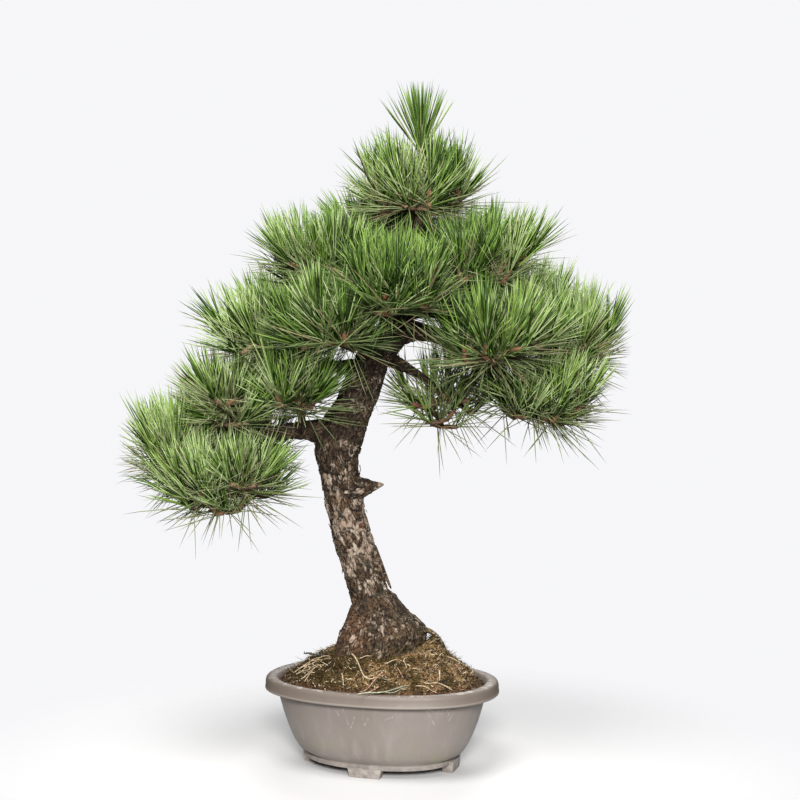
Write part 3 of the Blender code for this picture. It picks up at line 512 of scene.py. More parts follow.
def pot_material():
    """Matt taupe plastic: pale streaks down the sides, fine scratches, worn edges, a green stain."""
    material, shader = new_material("pot_plastic", 0.5)
    where = object_place(shader)
    place = vector("SUBTRACT", where, POT_PLACE)
    height = parts_of(place)[2]
    fine = grain(where, 700, 3)
    low = steps(height, (0.012, 0.0), (0.020, 0.55), (0.045, 0.0))
    stain = times(low, spots(where, 22, 3, (0.52, 0), (0.66, 1)))
    band = FOOT_HEIGHT + BASE_BAND
    foot = steps(height, (FOOT_HEIGHT - 0.001, 1), (band, 0.35), (band + 0.001, 0))
    colour = layered(
        blend(spots(where, 14, 3, (0.35, 0), (0.68, 1)), *TAUPE),
        (spots(where, 90, 5, (0.50, 0), (0.72, 0.6), stretch=(1, 1, 0.12)), POT_STREAK),
        (scratch_mask(place), POT_SCRATCH),
        *lip_layers(where, height),
        (stain, POT_STAIN),
        (times(foot, spots(where, 150, 5, (0.42, 0), (0.60, 0.75))), POT_WORN),
        (steps(fine, (0.3, 0.0), (0.8, 0.25)), POT_PORES),
    )
    coat(shader, colour, (fine, 0.12, 0.0006))
    join(shader.inputs["Roughness"], spots(where, 60, 4, (0.3, 0.46), (0.7, 0.64)))
    return material


def lip_layers(where, height):
    """The lip is browner than the body, with a painted highlight along the small step at its lower edge,
    and a worn crest.
    """
    low = POT_HEIGHT - LIP_DROP
    # The band along the lip's lower step that takes the painted highlight.
    line = ((low + 0.0001, 0), (low + 0.0003, 0.6), (low + 0.0022, 0.6), (low + 0.0024, 0))
    crest = steps(height, (POT_HEIGHT - 0.0012, 0), (POT_HEIGHT - 0.0002, 0.8))
    return (
        (steps(height, (low - 0.0004, 0), (low, 0.9)), LIP_BROWN),
        (steps(height, *line), LIP_EDGE_HIGHLIGHT),
        (times(crest, spots(where, 120, 4, (0.52, 0), (0.62, 1))), LIP_WORN),
    )


def scratch_mask(place):
    """Pale where the plastic is scratched: lines on the front, and others strewn round the pot."""
    _, depth, height = parts_of(place)
    bent = warped(vector("MULTIPLY", place, (1, 0, 1)), 90, 0.0016, 0)
    mask = 0.0
    for start, end in SCRATCHES:
        mask = number("MAXIMUM", mask, scratch_line(bent, start, end))
    mask = times(mask, number("LESS_THAN", depth, 0.0))
    cells = node("TexVoronoi", {"Vector": bent, "Scale": 46}, feature="DISTANCE_TO_EDGE")
    strewn = times(
        steps(cells.outputs["Distance"], (0.0, 0.6), (0.016, 0)),
        spots(place, 34, 2, (0.60, 0), (0.66, 1)),
    )
    strewn = times(strewn, steps(height, (0.045, 0), (0.060, 1)))
    mask = number("MAXIMUM", mask, strewn)
    return times(mask, spots(place, 260, 4, (0.44, 0.15), (0.58, 1)))


def scratch_line(bent, start, end):
    """Pale along one scratch of the front."""
    start, end = (Vector((x / 1000, 0, z / 1000)) for x, z in (start, end))
    line = vector("SUBTRACT", bent, start)
    aim = (end - start) / (end - start).length_squared
    share = number("MULTIPLY", vector("DOT_PRODUCT", line, aim), 1.0, clamp=True)
    away = vector("DISTANCE", line, vector("SCALE", end - start, share))
    return steps(away, (0.00015, 0.65), (0.00070, 0))


def bark_material():
    """Dark plated bark. The mesh holds each point's place on its straightened limb, and how pale,
    how red and how mossy the bark is there."""
    material, shader = new_material("bark", 0.9, shine=0.2)
    place = node("Attribute", {}, shader, attribute_name="place").outputs["Vector"]
    tone = node("Attribute", {}, shader, attribute_name="tone").outputs["Vector"]
    pale_share, red, moss = parts_of(tone)
    squeezed = node("Mapping", {"Vector": place, "Scale": (1, 1, 0.52)}).outputs[0]
    scales = {"Vector": warped(squeezed, 150, 0.0070), "Scale": FLAKE_SCALE}
    cells = node("TexVoronoi", scales)
    edge = node("TexVoronoi", scales, feature="DISTANCE_TO_EDGE").outputs["Distance"]
    fine = grain(place, 520, 6, (1, 1, 0.55))
    plate = blend(cell_number(cells, "Green"), *PLATE_PALE)
    plate = blend(steps(fine, (0.34, 0.72), (0.60, 0)), plate, PLATE_STREAK)
    crack = times(steps(edge, (0.0, 1), (0.15, 0)), steps(fine, (0.40, 1), (0.62, 0.30)))
    colour = layered(
        bark_ground(place, fine, red, moss),
        (scale_rims(place, edge), SCALE_RIM),
        (pale_plates(place, cells, pale_share), plate),
        (crack, BARK_CRACK),
    )
    coat(shader, colour, (number("ADD", fine, edge), 0.9, 0.0016))
    return material


def bark_ground(place, fine, red, moss):
    """The bark between the pale plates: brown, rusty, mossy or grey with lichen, and darker high up as
    painted shade under the crown.
    """
    broad = spots(place, 60, 3, (0.35, 0.15), (0.68, 1))
    streaks = times(steps(fine, (0.38, 0), (0.60, 1)), broad)
    height = parts_of(object_place(place))[2]
    return layered(
        blend(streaks, *BARK_BROWN),
        (spots(place, 95, 5, (0.55, 0), (0.62, 0.55)), BARK_LICHEN),
        (red, blend(streaks, *BARK_RUST)),
        (moss, blend(streaks, *BARK_MOSSY)),
        # Darker high up: painted shade under the crown.
        (steps(height, (0.28, 0), (0.33, 0.5), (0.40, 0.85)), blend(streaks, *BARK_UPPER_SHADE)),
    )


def scale_rims(place, edge):
    """Thin pale outlines round some of the scales."""
    line = steps(edge, (0.07, 0), (0.11, 1), (0.16, 0.9), (0.21, 0))
    return times(line, spots(place, 130, 5, (0.54, 0), (0.62, 0.75)))


def pale_plates(place, cells, pale_share):
    """Where the bark has flaked to pale: whole scales, frayed by noise."""
    frayed = spots(place, 150, 4, (0.32, 0), (0.68, 1), stretch=(1, 1, 0.6))
    level = number("MULTIPLY_ADD", cell_number(cells, "Red"), 0.5, times(frayed, 0.5))
    return number("MULTIPLY", number("SUBTRACT", pale_share, level), 8.0, clamp=True)


def cell_number(cells, channel):
    """A number for each cell."""
    return node("SeparateColor", {"Color": cells.outputs["Color"]}).outputs[channel]


def twig_material():
    """Scaly brown bark of the twigs."""
    material, shader = new_material("twig_bark", 0.88, shine=0.25)
    fine = grain(object_place(shader), 500, 5)
    colour = blend(steps(fine, (0.35, 0), (0.68, 1)), *TWIG_BROWN)
    coat(shader, colour, (fine, 0.7, 0.0010))
    return material


def soil_material():
    """Dry moss over dark soil: olive on the left, tan in patches on the right, and dark reddish at the
    wall, the soil's own red with painted shade of the wall.
    """
    material, shader = new_material("moss", 0.97, shine=0.15)
    where = object_place(shader)
    across, _, height = parts_of(where)
    fine = grain(where, 520, 6)
    light = steps(fine, (0.36, 0), (0.62, 1))
    leaning = number("MULTIPLY_ADD", across, 1.6, grain(where, 38, 4))
    # Low by the wall: the soil's own red with painted shade of the wall.
    low = steps(height, (SOIL_AT_WALL + 0.003, 0.85), (SOIL_AT_WALL + 0.010, 0))
    colour = layered(
        blend(steps(fine, (0.40, 0), (0.66, 1)), *MOSS_OLIVE),
        (steps(leaning, (0.47, 0), (0.60, 1)), blend(light, *MOSS_TAN)),
        (low, blend(light, *SOIL_RED_AND_WALL_SHADE)),
        (spots(where, 900, 2, (0.68, 0), (0.74, 0.8)), SOIL_SPECK),
    )
    coat(shader, colour, (fine, 0.9, 0.0020))
    return material


def floor_material():
    """Pale and matt, and it thins out to nothing further off, so that no horizon shows."""
    material, shader = new_material("floor", 0.85, shine=0.2)
    where = object_place(shader)
    share = number("DIVIDE", vector("LENGTH", where), FLOOR_SIZE)
    coat(shader, blend(grain(where, 3, 3), *FLOOR_GREY))
    join(shader.inputs["Alpha"], steps(share, (0.06, 1), (0.20, 0)))
    return material


# Mesh helpers


class Pile:
    """Points and triangles of many shapes, which become one piece."""

    def __init__(self):
        self.points, self.triangles, self.slots, self.size = [], [], [], 0

    def add(self, points, triangles, slot=0):
        self.points.append(np.asarray(points, float).reshape(-1, 3))
        self.triangles.append(np.asarray(triangles, int).reshape(-1, 3) + self.size)
        self.slots.append(np.broadcast_to(slot, len(self.triangles[-1])))
        self.size += len(self.points[-1])

    def mesh(self, name):
        points = np.concatenate(self.points)
        triangles = np.concatenate(self.triangles)
        mesh = bpy.data.meshes.new(name)
        mesh.vertices.add(len(points))
        mesh.vertices.foreach_set("co", points.astype(np.float32).ravel())
        mesh.loops.add(triangles.size)
        mesh.loops.foreach_set("vertex_index", triangles.astype(np.int32).ravel())
        mesh.polygons.add(len(triangles))
        mesh.polygons.foreach_set("loop_start", np.arange(0, triangles.size, 3, dtype=np.int32))
        mesh.polygons.foreach_set("material_index", np.concatenate(self.slots).astype(np.int32))
        mesh.update(calc_edges=True)
        mesh.shade_smooth()
        return mesh


def add_piece(name, shape, materials, nodes):
    """A mesh or a pile as a piece in place of the solids of those nodes, moved to where they are."""
    mesh = shape.mesh(name) if isinstance(shape, Pile) else shape
    piece = bpy.data.objects.new(name, mesh)
    bpy.context.scene.collection.objects.link(piece)
    mesh.transform(Matrix.Translation(POT_PLACE))
    for material in materials:
        mesh.materials.append(material)
    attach(piece, "root")
    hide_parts(*nodes)


def grid_triangles(rows, columns, ring=True):
    """Triangles of a grid of points, whose columns close to a ring."""
    across = columns if ring else columns - 1
    row, column = np.meshgrid(np.arange(rows - 1), np.arange(across), indexing="ij")
    beside = (column + 1) % columns
    a, b = row * columns + column, row * columns + beside
    c, d = a + columns, b + columns
    return np.stack([a, b, d, a, d, c], -1).reshape(-1, 3)


def unit(rows):
    return rows / np.maximum(np.linalg.norm(rows, axis=-1, keepdims=True), 1e-12)


def bounded(value):
    """The value, kept from 0 to 1."""
    return min(1.0, max(0.0, value))


def drawn(rng, *spans):
    """A vector of random numbers, each from its span."""
    return Vector([rng.uniform(*span) for span in spans])


def distances(points):
    """How far along the path each of its points lies."""
    return np.concatenate([[0], np.cumsum(np.linalg.norm(np.diff(points, axis=0), axis=1))])


def helper_object(bm, name):
    mesh = bpy.data.meshes.new(name)
    bm.to_mesh(mesh)
    bm.free()
    obj = bpy.data.objects.new(name, mesh)
    bpy.context.scene.collection.objects.link(obj)
    return obj


def resample(path, step):
    """The path of (point, radius) again as rows of x, y, z, radius, one every step, and their places."""
    rows = np.array([(*point, radius) for point, radius in path])
    along = distances(rows[:, :3])
    places = np.linspace(0, along[-1], max(2, round(along[-1] / step) + 1))
    return np.stack([np.interp(places, along, rows[:, axis]) for axis in range(4)], 1), places


def frames_along(points):
    """Two directions across the path at each point, carried on without twist."""
    ahead = unit(np.gradient(points, axis=0))
    ahead[np.linalg.norm(ahead, axis=1) < 0.5] = UP
    side = np.array(Vector(ahead[0]).orthogonal())
    sides = []
    for direction in ahead:
        across = side - direction * (side @ direction)
        if np.linalg.norm(across) < 1e-6:
            across = np.cross(direction, (0.36, 0.48, 0.80))
        side = across / np.linalg.norm(across)
        sides.append(side)
    sides = np.array(sides)
    return sides, np.cross(ahead, sides)


# Pot


def oval_point(radius_x, radius_y, turn):
    across, along = math.cos(turn), math.sin(turn)
    blunt = (abs(across) ** OVAL_POWER + abs(along) ** OVAL_POWER) ** (-1 / OVAL_POWER)
    return radius_x * across * blunt, radius_y * along * blunt


def outer_profile():
    """Radius and height of the pot's outside, from the lip's crest down to the underside."""
    lip = [
        (LIP_INNER + 0.0014, POT_HEIGHT - 0.0006),
        (LIP_INNER + 0.0040, POT_HEIGHT),
        (LIP_INNER + 0.0070, POT_HEIGHT),
        (POT_RADIUS - 0.0036, POT_HEIGHT - 0.0004),
        (POT_RADIUS - 0.0022, POT_HEIGHT - 0.0011),
        (POT_RADIUS - 0.0012, POT_HEIGHT - 0.0024),
        (POT_RADIUS - 0.0006, POT_HEIGHT - 0.0048),
        (POT_RADIUS - 0.0003, POT_HEIGHT - 0.0106),
        (POT_RADIUS, POT_HEIGHT - 0.0110),
        (POT_RADIUS, POT_HEIGHT - LIP_DROP),
        (BODY_TOP + 0.0012, POT_HEIGHT - LIP_DROP + 0.0006),
        (BODY_TOP, POT_HEIGHT - LIP_DROP),
    ]
    top, foot = POT_HEIGHT - LIP_DROP, FOOT_HEIGHT + BASE_BAND
    body = []
    for step in range(1, BODY_RINGS + 1):
        height = 1 - step / BODY_RINGS
        radius = BODY_FOOT + (BODY_TOP - BODY_FOOT) * height**BODY_CURVE
        body.append((radius, foot + (top - foot) * height))
    band = [
        (BODY_FOOT + BASE_BAND_PROUD, foot - 0.0006),
        (BODY_FOOT + BASE_BAND_PROUD - 0.0010, FOOT_HEIGHT),
    ]
    return lip + body + band


def inner_profile(inset=0.0):
    """Radius and height of the pot's inside, or that much inside it, from its floor up to the lip."""
    floor = FOOT_HEIGHT + POT_WALL + inset
    wall = POT_WALL + inset
    body = [point for point in outer_profile() if point[0] <= BODY_TOP and point[1] > floor + 0.006]
    points = [(BODY_FOOT - wall - 0.004, floor), (BODY_FOOT - wall, floor + 0.004)]
    return points + [(radius - wall, height) for radius, height in reversed(body)]


def pot_shell():
    """The pot's wall and floor, turned round an oval."""
    turns = [2 * math.pi * index / POT_STEPS for index in range(POT_STEPS)]
    bm = bmesh.new()
    rows = []
    for radius, height in inner_profile() + [(LIP_INNER - 0.0012, POT_HEIGHT - 0.0030)] + outer_profile():
        places = [oval_point(radius, radius * POT_OVAL, turn) for turn in turns]
        rows.append([bm.verts.new((x, y, height)) for x, y in places])
    for lower, upper in zip(rows, rows[1:]):
        for i in range(POT_STEPS):
            j = (i + 1) % POT_STEPS
            bm.faces.new((lower[i], upper[i], upper[j], lower[j]))
    bm.faces.new(rows[0])
    bm.faces.new(rows[-1][::-1])
    bmesh.ops.recalc_face_normals(bm, faces=bm.faces)
    return helper_object(bm, "pot_shell")


def pot_piece():
    """The pot with a fine outline: turned wall, rolled lip, base band, four feet and drain holes."""
    pot = pot_shell()
    tools = [("DIFFERENCE", drain_tool(side)) for side in (-1, 1)]
    tools += [("UNION", foot_block(index)) for index in range(4)]
    for operation, tool in tools:
        cut = pot.modifiers.new("cut", "BOOLEAN")
        cut.object = tool
        cut.operation = operation
    edge = pot.modifiers.new("edge", "BEVEL")
    edge.width = POT_EDGE
    edge.segments = 2
    edge.limit_method = "ANGLE"
    edge.angle_limit = ROUNDED_FROM
    graph = bpy.context.evaluated_depsgraph_get()
    mesh = bpy.data.meshes.new_from_object(pot.evaluated_get(graph))
    for obj in [pot] + [tool for _, tool in tools]:
        bpy.data.objects.remove(obj)
    mesh.materials.clear()
    mesh.transform(Matrix.Rotation(POT_YAW, 4, "Z"))
    mesh.shade_smooth()
    mesh.set_sharp_from_angle(angle=SHARP_FROM)
    add_piece("pot_body", mesh, [pot_material()], ["pot"])


def drain_tool(side):
    bm = bmesh.new()
    size = {"radius1": DRAIN_RADIUS, "radius2": DRAIN_RADIUS, "depth": POT_WALL * 8}
    bmesh.ops.create_cone(bm, cap_ends=True, segments=40, **size)
    bmesh.ops.translate(bm, verts=bm.verts, vec=(side * DRAIN_OFFSET, 0, FOOT_HEIGHT))
    return helper_object(bm, "drain")


def foot_block(index):
    """One of the four feet: those with even numbers are at the ends, and are narrower."""
    end = index % 2 == 0
    inset, share, overlap = END_FOOT if end else SIDE_FOOT
    turn = math.pi / 2 * index
    reach = BODY_FOOT - inset
    size = (FOOT_DEPTH, FOOT_WIDTH * share, FOOT_HEIGHT + POT_WALL * overlap)
    bm = bmesh.new()
    bmesh.ops.create_cube(bm, size=1)
    for vert in bm.verts:
        taper = FOOT_TAPER if vert.co.z < 0 else 1.0
        x, y, z = vert.co + UP / 2
        vert.co = Vector((x * size[0] * taper, y * size[1] * taper, z * size[2]))
    bmesh.ops.rotate(bm, verts=bm.verts, matrix=Matrix.Rotation(turn, 3, "Z"))
    middle = Vector((math.cos(turn) * reach, math.sin(turn) * reach * POT_OVAL, 0))
    bmesh.ops.translate(bm, verts=bm.verts, vec=middle)
    return helper_object(bm, "foot")


# Mound


def lump(point, scale, octaves):
    return noise.fractal(Vector(point) * scale, 0.9, 2.0, octaves)


def mound_point(share, turn):
    """A point of the mound: share 0 is at the pot's wall, 1 at the bank, and more is inside that."""
    wall = inner_profile(SOIL_GAP)[-1][0]
    slope = min(share, 1.0)
    radius_x = wall + (BANK_RADII[0] - wall) * slope
    radius_y = wall * POT_OVAL + (BANK_RADII[1] - wall * POT_OVAL) * slope
    inward = max(0.0, 1 - max(0.0, share - 1))
    x, y = oval_point(radius_x * inward, radius_y * inward, turn)
    across = x * math.cos(POT_YAW) - y * math.sin(POT_YAW)
    along = x * math.sin(POT_YAW) + y * math.cos(POT_YAW)
    right = max(0.0, across / max(math.hypot(across, along), 1e-6)) ** 3
    height = SOIL_AT_WALL + (GROUND - SOIL_AT_WALL) * slope + BANK_RISE * right * slope * inward**2
    height += COLLAR_RISE * bounded((1 - inward) / COLLAR_SHARE) * (1 - 0.35 * right)
    x, y = across + PLATEAU_CENTRE[0] * slope, along + PLATEAU_CENTRE[1] * slope
    hump_x, hump_y, hump_rise, hump_width = HUMP
    height += hump_rise * math.exp(-((x - hump_x) ** 2 + (y - hump_y) ** 2) / hump_width**2)
    bumps = 0.0
    for scale, octaves, rise, draw in MOUND_BUMPS:
        bumps += lump((x, y, draw), scale, octaves) * rise
    return Vector((x, y, height + bumps * min(1.0, 0.25 + 4 * share)))


def mound_pieces():
    """The mossy surface, with the soil under it down to the pot's floor."""
    shares = np.concatenate([np.linspace(0, 1.35, MOUND_RINGS), (1.5, 1.7, 1.9)])
    below = [(radius, height) for radius, height in inner_profile(SOIL_GAP) if height < SOIL_AT_WALL]
    turns = [2 * math.pi * index / MOUND_SIDES for index in range(MOUND_SIDES)]
    spin = Matrix.Rotation(POT_YAW, 3, "Z")
    points = []
    for radius, height in below:
        points += [spin @ Vector((*oval_point(radius, radius * POT_OVAL, turn), height)) for turn in turns]
    for share in shares:
        points += [mound_point(share, turn) for turn in turns]
    pile = Pile()
    pile.add(points, grid_triangles(len(below) + len(shares), MOUND_SIDES))
    floor = [spin @ Vector((0, 0, below[0][1]))] + points[:MOUND_SIDES]
    pile.add(floor, [(0, 1 + (i + 1) % MOUND_SIDES, 1 + i) for i in range(MOUND_SIDES)])
    add_piece("moss_mound", pile, [soil_material()], ["soil_mound"])
    moss_fibres()
    soil_crumbs()
    litter(BVHTree.FromPolygons(points, pile.triangles[0].tolist()))


def fibre_colour(rng, root, share):
    """The number of a fibre's colour: dark in noise patches and at the wall, as painted shade of gaps
    between clumps and of the pot's wall, and tan in patches.
    """
    kind = rng.random()
    tan = lump(root, 38, 2) * 1.4 + 0.35 + root.x * 5 > 0.5
    # Dark fibres in noise patches and near the wall: painted shade.
    if lump((root.x, root.y, 9), 55, 2) < -0.10 or share < 0.10:
        return rng.choice((0, 4))
    if kind < 0.05 + 0.06 * tan:
        return 3
    if kind < 0.5 * tan + 0.1:
        return 2
    return rng.choice((0, 1, 4))


def moss_fibres():
    """Short dry fibres that stand up out of the moss, mostly olive on the left and tan on the right."""
    rng = random.Random("moss")
    roots, starts, ends, slots = [], [], [], []
    for _ in range(FIBRES):
        share, turn = rng.uniform(0.04, 1.12) ** 0.8, rng.uniform(0, 2 * math.pi)
        root = mound_point(share, turn)
        heading = drawn(rng, (-1, 1), (-1, 1), (0.1, 0.9)).normalized()
        roots.append(root - UP * FIBRE_SUNK)
        starts.append(heading)
        ends.append(heading + drawn(rng, (-1, 1), (-1, 1), (-1.1, 0.1)))
        slots.append(fibre_colour(rng, root, share))
    lengths = np.array([rng.uniform(0.003, 0.0080) * rng.choice((1, 1, 1.35)) for _ in roots])
    widths = np.array([rng.uniform(0.0003, 0.0007) for _ in roots])
    widths[:BITS] *= BIT_WIDTH
    slots[:BITS] = [rng.choice((2, 3, 3)) for _ in range(BITS)]
    ways = np.array(roots), unit(np.array(starts)), np.array(ends)
    pile = Pile()
    add_needles(pile, *ways, lengths, widths, np.array(slots), FIBRE_PROFILE)
    materials = plain_materials("moss_fibre", MOSS_COLOURS, 0.9, 0.2)
    add_piece("moss_fibres", pile, materials, ["soil_mound"])


def soil_crumbs():
    """Crumbs of dark soil and bark near the wall."""
    rng = random.Random("crumbs")
    bm = bmesh.new()
    bmesh.ops.create_icosphere(bm, subdivisions=1, radius=1)
    shape = np.array([vert.co[:] for vert in bm.verts])
    faces = np.array([[vert.index for vert in face.verts] for face in bm.faces])
    bm.free()
    pile = Pile()
    for _ in range(CRUMBS):
        share, turn = rng.uniform(0.0, 1.0) ** 2, rng.uniform(0, 2 * math.pi)
        size = rng.uniform(0.0006, 0.0018)
        scale = np.array([rng.uniform(0.6, 1.4), rng.uniform(0.6, 1.4), rng.uniform(0.5, 0.9)]) * size
        place = mound_point(share, turn)
        if share < 0.02:
            place.z -= 0.0005
        jagged = shape * scale * (1 + np.array([rng.uniform(-0.25, 0.25) for _ in shape])[:, None])
        pile.add(jagged + np.array(place), faces, rng.choice((0, 0, 0, 1, 2)))
    materials = plain_materials("crumb", CRUMB_COLOURS, 0.95, 0.2)
    add_piece("soil_crumbs", pile, materials, ["soil_mound"])


# What lies on the mound: kind, the millimetres across and along of the points that it passes, its
# thickness in millimetres and how far its middle arches up.
LITTER = (
    ("root", ((-34, -29), (-24, -50), (-15, -66), (-2, -66)), 2.0, 2.0),
    ("root", ((-40, -52), (-38, -65)), 1.7, 1.0),
    ("straw", ((-92, -14), (-53, -24)), 1.2, 6.0),
    ("straw", ((-87, -12), (-52, -29)), 1.2, 4.5),
    ("straw", ((-84, -34), (-58, -32)), 1.1, 3.0),
    ("straw", ((-90, -20), (-62, -15)), 1.1, 4.0),
    ("straw", ((-90, -17), (-61, -33)), 1.3, 3.0),
    ("straw", ((-80, -40), (-66, -24)), 1.0, 2.0),
    ("brown", ((2, -62), (-8, -72), (-22, -79)), 1.6, 3.0),
    ("brown", ((-2, -73), (-12, -79)), 1.7, 1.0),
    ("green", ((-22, -91), (4, -84), (30, -73)), 1.6, 3.0),
    ("green", ((-8, -87), (9, -82), (27, -76)), 1.3, 1.0),
    ("straw", ((36, -73), (59, -76)), 1.2, 2.5),
    ("straw", ((44, -70), (75, -69)), 1.2, 4.0),
    ("straw", ((60, -66), (74, -66)), 1.2, 1.0),
    ("root", ((61, -50), (61, -63)), 2.3, 1.5),
    ("brown", ((16, -58), (24, -69)), 1.2, 1.0),
    ("straw", ((-22, -45), (-9, -46)), 1.1, 1.5),
    ("straw", ((4, -56), (19, -50)), 1.2, 1.0),
    ("root", ((70, -17), (93, -9)), 1.8, 0.5),
    ("brown", ((78, -27), (85, -35)), 1.2, 0.5),
    ("straw", ((60, 30), (84, 14)), 1.1, 3.0),
    ("straw", ((20, 58), (52, 50)), 1.1, 3.0),
    ("brown", ((-30, 52), (-12, 66)), 1.2, 2.0),
    ("root", ((-60, 30), (-42, 48)), 1.7, 1.0),
    ("straw", ((-80, 22), (-58, 40)), 1.1, 3.0),
    ("straw", ((-23, -91), (-11, -88)), 1.5, 0.5),
)
LITTER_KINDS = {"straw": 0, "brown": 1, "green": 2, "root": 0, "lichened": 3}  # their colours


def litter(ground):
    """Dead needles and roots that lie on the moss, and a green needle and a straw's tip on the rim."""
    pile = Pile()
    for index, (kind, marks, width, arch) in enumerate(LITTER):
        path = smooth_path([(x / 1000, y / 1000, 0, width / 2000) for x, y in marks], 12)
        under = np.array([surface_under(ground, point.x, point.y) for point, _ in path])
        smooth = np.convolve(np.pad(under, 4, mode="edge"), np.ones(9) / 9, mode="valid")
        rows = []
        for step, (point, radius) in enumerate(path):
            t = step / (len(path) - 1)
            rise = arch / 1000 * math.sin(math.pi * t) * abs(math.sin(2.4 * index + 3 * t))
            height = smooth[step] + radius + rise + LITTER_LIFT
            rows.append((Vector((point.x, point.y, height)), radius * (1 - 0.5 * t)))
        add_tube(pile, resample(rows, 0.0025)[0], 6, LITTER_KINDS[kind])
    dead_twig(pile)
    materials = mottled_materials("litter", LITTER_COLOURS, 0.75, 0.3)
    add_piece("litter", pile, materials, ["soil_mound"])


def surface_under(ground, x, y):
    """The height of the mound there, or of the pot's rim beside it."""
    hit = ground.ray_cast(Vector((x, y, 1)), -UP)[0]
    return hit.z + 0.0004 if hit else POT_HEIGHT - 0.0004


def dead_twig(pile):
    """A lichened bit of twig, with short spurs, that sticks out of the left side of the mound."""
    root = mound_point(0.98, math.radians(207))
    rng = random.Random("dead twig")
    path = []
    for step in range(9):
        t = step / 8
        point = root + Vector((0.013 - 0.031 * t, -0.004 * t, 0.0030 + 0.0012 * math.sin(9 * t)))
        path.append((point, 0.0013 - 0.0005 * t))
    rows, _ = resample(path, 0.0010)
    rows[:, 3] *= np.array([rng.uniform(0.75, 1.3) for _ in rows])
    add_tube(pile, rows, 8, LITTER_KINDS["lichened"])
    for _ in range(16):
        start = Vector(rows[rng.randrange(4, len(rows)), :3])
        heading = drawn(rng, (-1, 0.3), (-1, 1), (-0.8, 1)).normalized()
        spur = [(start, 0.0006), (start + heading * rng.uniform(0.0015, 0.004), 0.0003)]
        add_tube(pile, resample(spur, 0.001)[0], 5, LITTER_KINDS["lichened"])


def add_tube(pile, rows, sides, slot=0, ripple=0.0):
    """A tube along rows of x, y, z, radius, which ends in a point."""
    first, second = frames_along(rows[:, :3])
    turns = np.arange(sides) / sides * 2 * math.pi
    spokes = first[:, None] * np.cos(turns)[:, None] + second[:, None] * np.sin(turns)[:, None]
    radii = rows[:, 3] * (1 + ripple * (np.arange(len(rows)) % 2))
    points = rows[:, None, :3] + spokes * radii[:, None, None]
    points[-1] = rows[-1, :3]
    pile.add(points, grid_triangles(len(rows), sides), slot)


# Limbs, by the same rule as the solids


def smooth_path(stations, per_station):
    """Catmull-Rom points through the stations, each a tuple that ends with a radius."""
    rows = [Vector(station) for station in stations]
    rows = [2 * rows[0] - rows[1]] + rows + [2 * rows[-1] - rows[-2]]
    made = []
    for a, b, c, d in zip(rows, rows[1:], rows[2:], rows[3:]):
        for step in range(per_station):
            t = step / per_station
            bend, twist = 2 * a - 5 * b + 4 * c - d, 3 * b - a - 3 * c + d
            made.append((2 * b + (c - a) * t + bend * t**2 + twist * t**3) / 2)
    made.append(rows[-2])
    return [(Vector(row[:3]), row[3]) for row in made]


TRUNK_PATH = smooth_path(TRUNK, TRUNK_RINGS_PER_STATION)
TRUNK_HEIGHTS = [point.z for point, _ in TRUNK_PATH]
TRUNK_RADII = [radius for _, radius in TRUNK_PATH]


def point_on(limb, place):
    """A point on a limb's axis: by height on the trunk, by share of its length on a bough."""
    if limb == "trunk":
        for (low, _), (high, _) in zip(TRUNK_PATH, TRUNK_PATH[1:]):
            if low.z <= place <= high.z:
                return low.lerp(high, (place - low.z) / (high.z - low.z))
    path = limb_path(limb)
    step = place * (len(path) - 1)
    index = min(int(step), len(path) - 2)
    return path[index][0].lerp(path[index + 1][0], step - index)


def limb_path(name, points=LIMB_POINTS):
    """Points and radii along a limb: one bowed curve from its parent's axis to its tip."""
    if name == "trunk":
        return TRUNK_PATH
    parent, place, tip, bow, base_radius, tip_radius = LIMBS[name]
    start, end = point_on(parent, place), Vector(tip)
    middle = (start + end) / 2 + Vector(bow)
    path = []
    for step in range(points):
        t = step / (points - 1)
        point = start * (1 - t) ** 2 + middle * 2 * t * (1 - t) + end * t**2
        path.append((point, base_radius + (tip_radius - base_radius) * t**LIMB_TAPER))
    return path


# Bark


# From this height down the trunk's rings turn level, within that length.
LEVEL_FROM = 0.196
LEVEL_WITHIN = 0.032
PLATE_SIZE = 0.0080
PLATE_STEP = 0.0012
FISSURE_DEPTH = 0.0018
LUMP_DEPTH = 0.0016
GNARL_DEPTH = 0.0028
FINE_DEPTH = 0.0004
COLLAR_LENGTH = 0.012
COLLAR_SWELL = 0.45
# How much of the bark has flaked to pale at each height of the trunk, and on the boughs.
PALE_HEIGHTS = (0.120, 0.158, 0.168, 0.180, 0.200, 0.285, 0.310, 0.335, 0.420, 0.600)
PALE_SHARES = (0.28, 0.32, 0.04, 0.14, 0.58, 0.62, 0.44, 0.27, 0.22, 0.18)
BOUGH_PALE = 0.20
BOUGH_RED = 0.35
ROOT_TONE = (0.42, 0.10, 0.85)
MOSSY_TOP = 0.142  # below this height on the trunk moss sets in
MOSSY_WITHIN = 0.02
STUB_BARE_FROM = -0.012  # from here on to the right the stub's wood grows bare
STUB_BARE_WITHIN = 0.010
# The stub's radius at shares of its length.
STUB_PROFILE = (
    (0.0, 0.0190),
    (0.31, 0.0178),
    (0.45, 0.0128),
    (0.60, 0.0094),
    (0.66, 0.0084),
    (0.73, 0.0060),
    (0.87, 0.0037),
    (1.0, 0.0012),
)
SCAR = (-0.0312, 0.3391, 0.0027, 0.0058)  # an old branch's oval scar: x, z and its half sizes
SCAR_RISE = 0.0011
SCALES = 70  # loose scales on the trunk
# A strip of bark that has come away: x, y, z and radius along it.
STRIP = (
    (-0.0064, -0.003, 0.2360, 0.0010),
    (-0.0020, -0.003, 0.2230, 0.0016),
    (0.0040, -0.004, 0.2060, 0.0017),
    (0.0082, -0.004, 0.1950, 0.0015),
    (0.0108, -0.004, 0.1890, 0.0006),
)
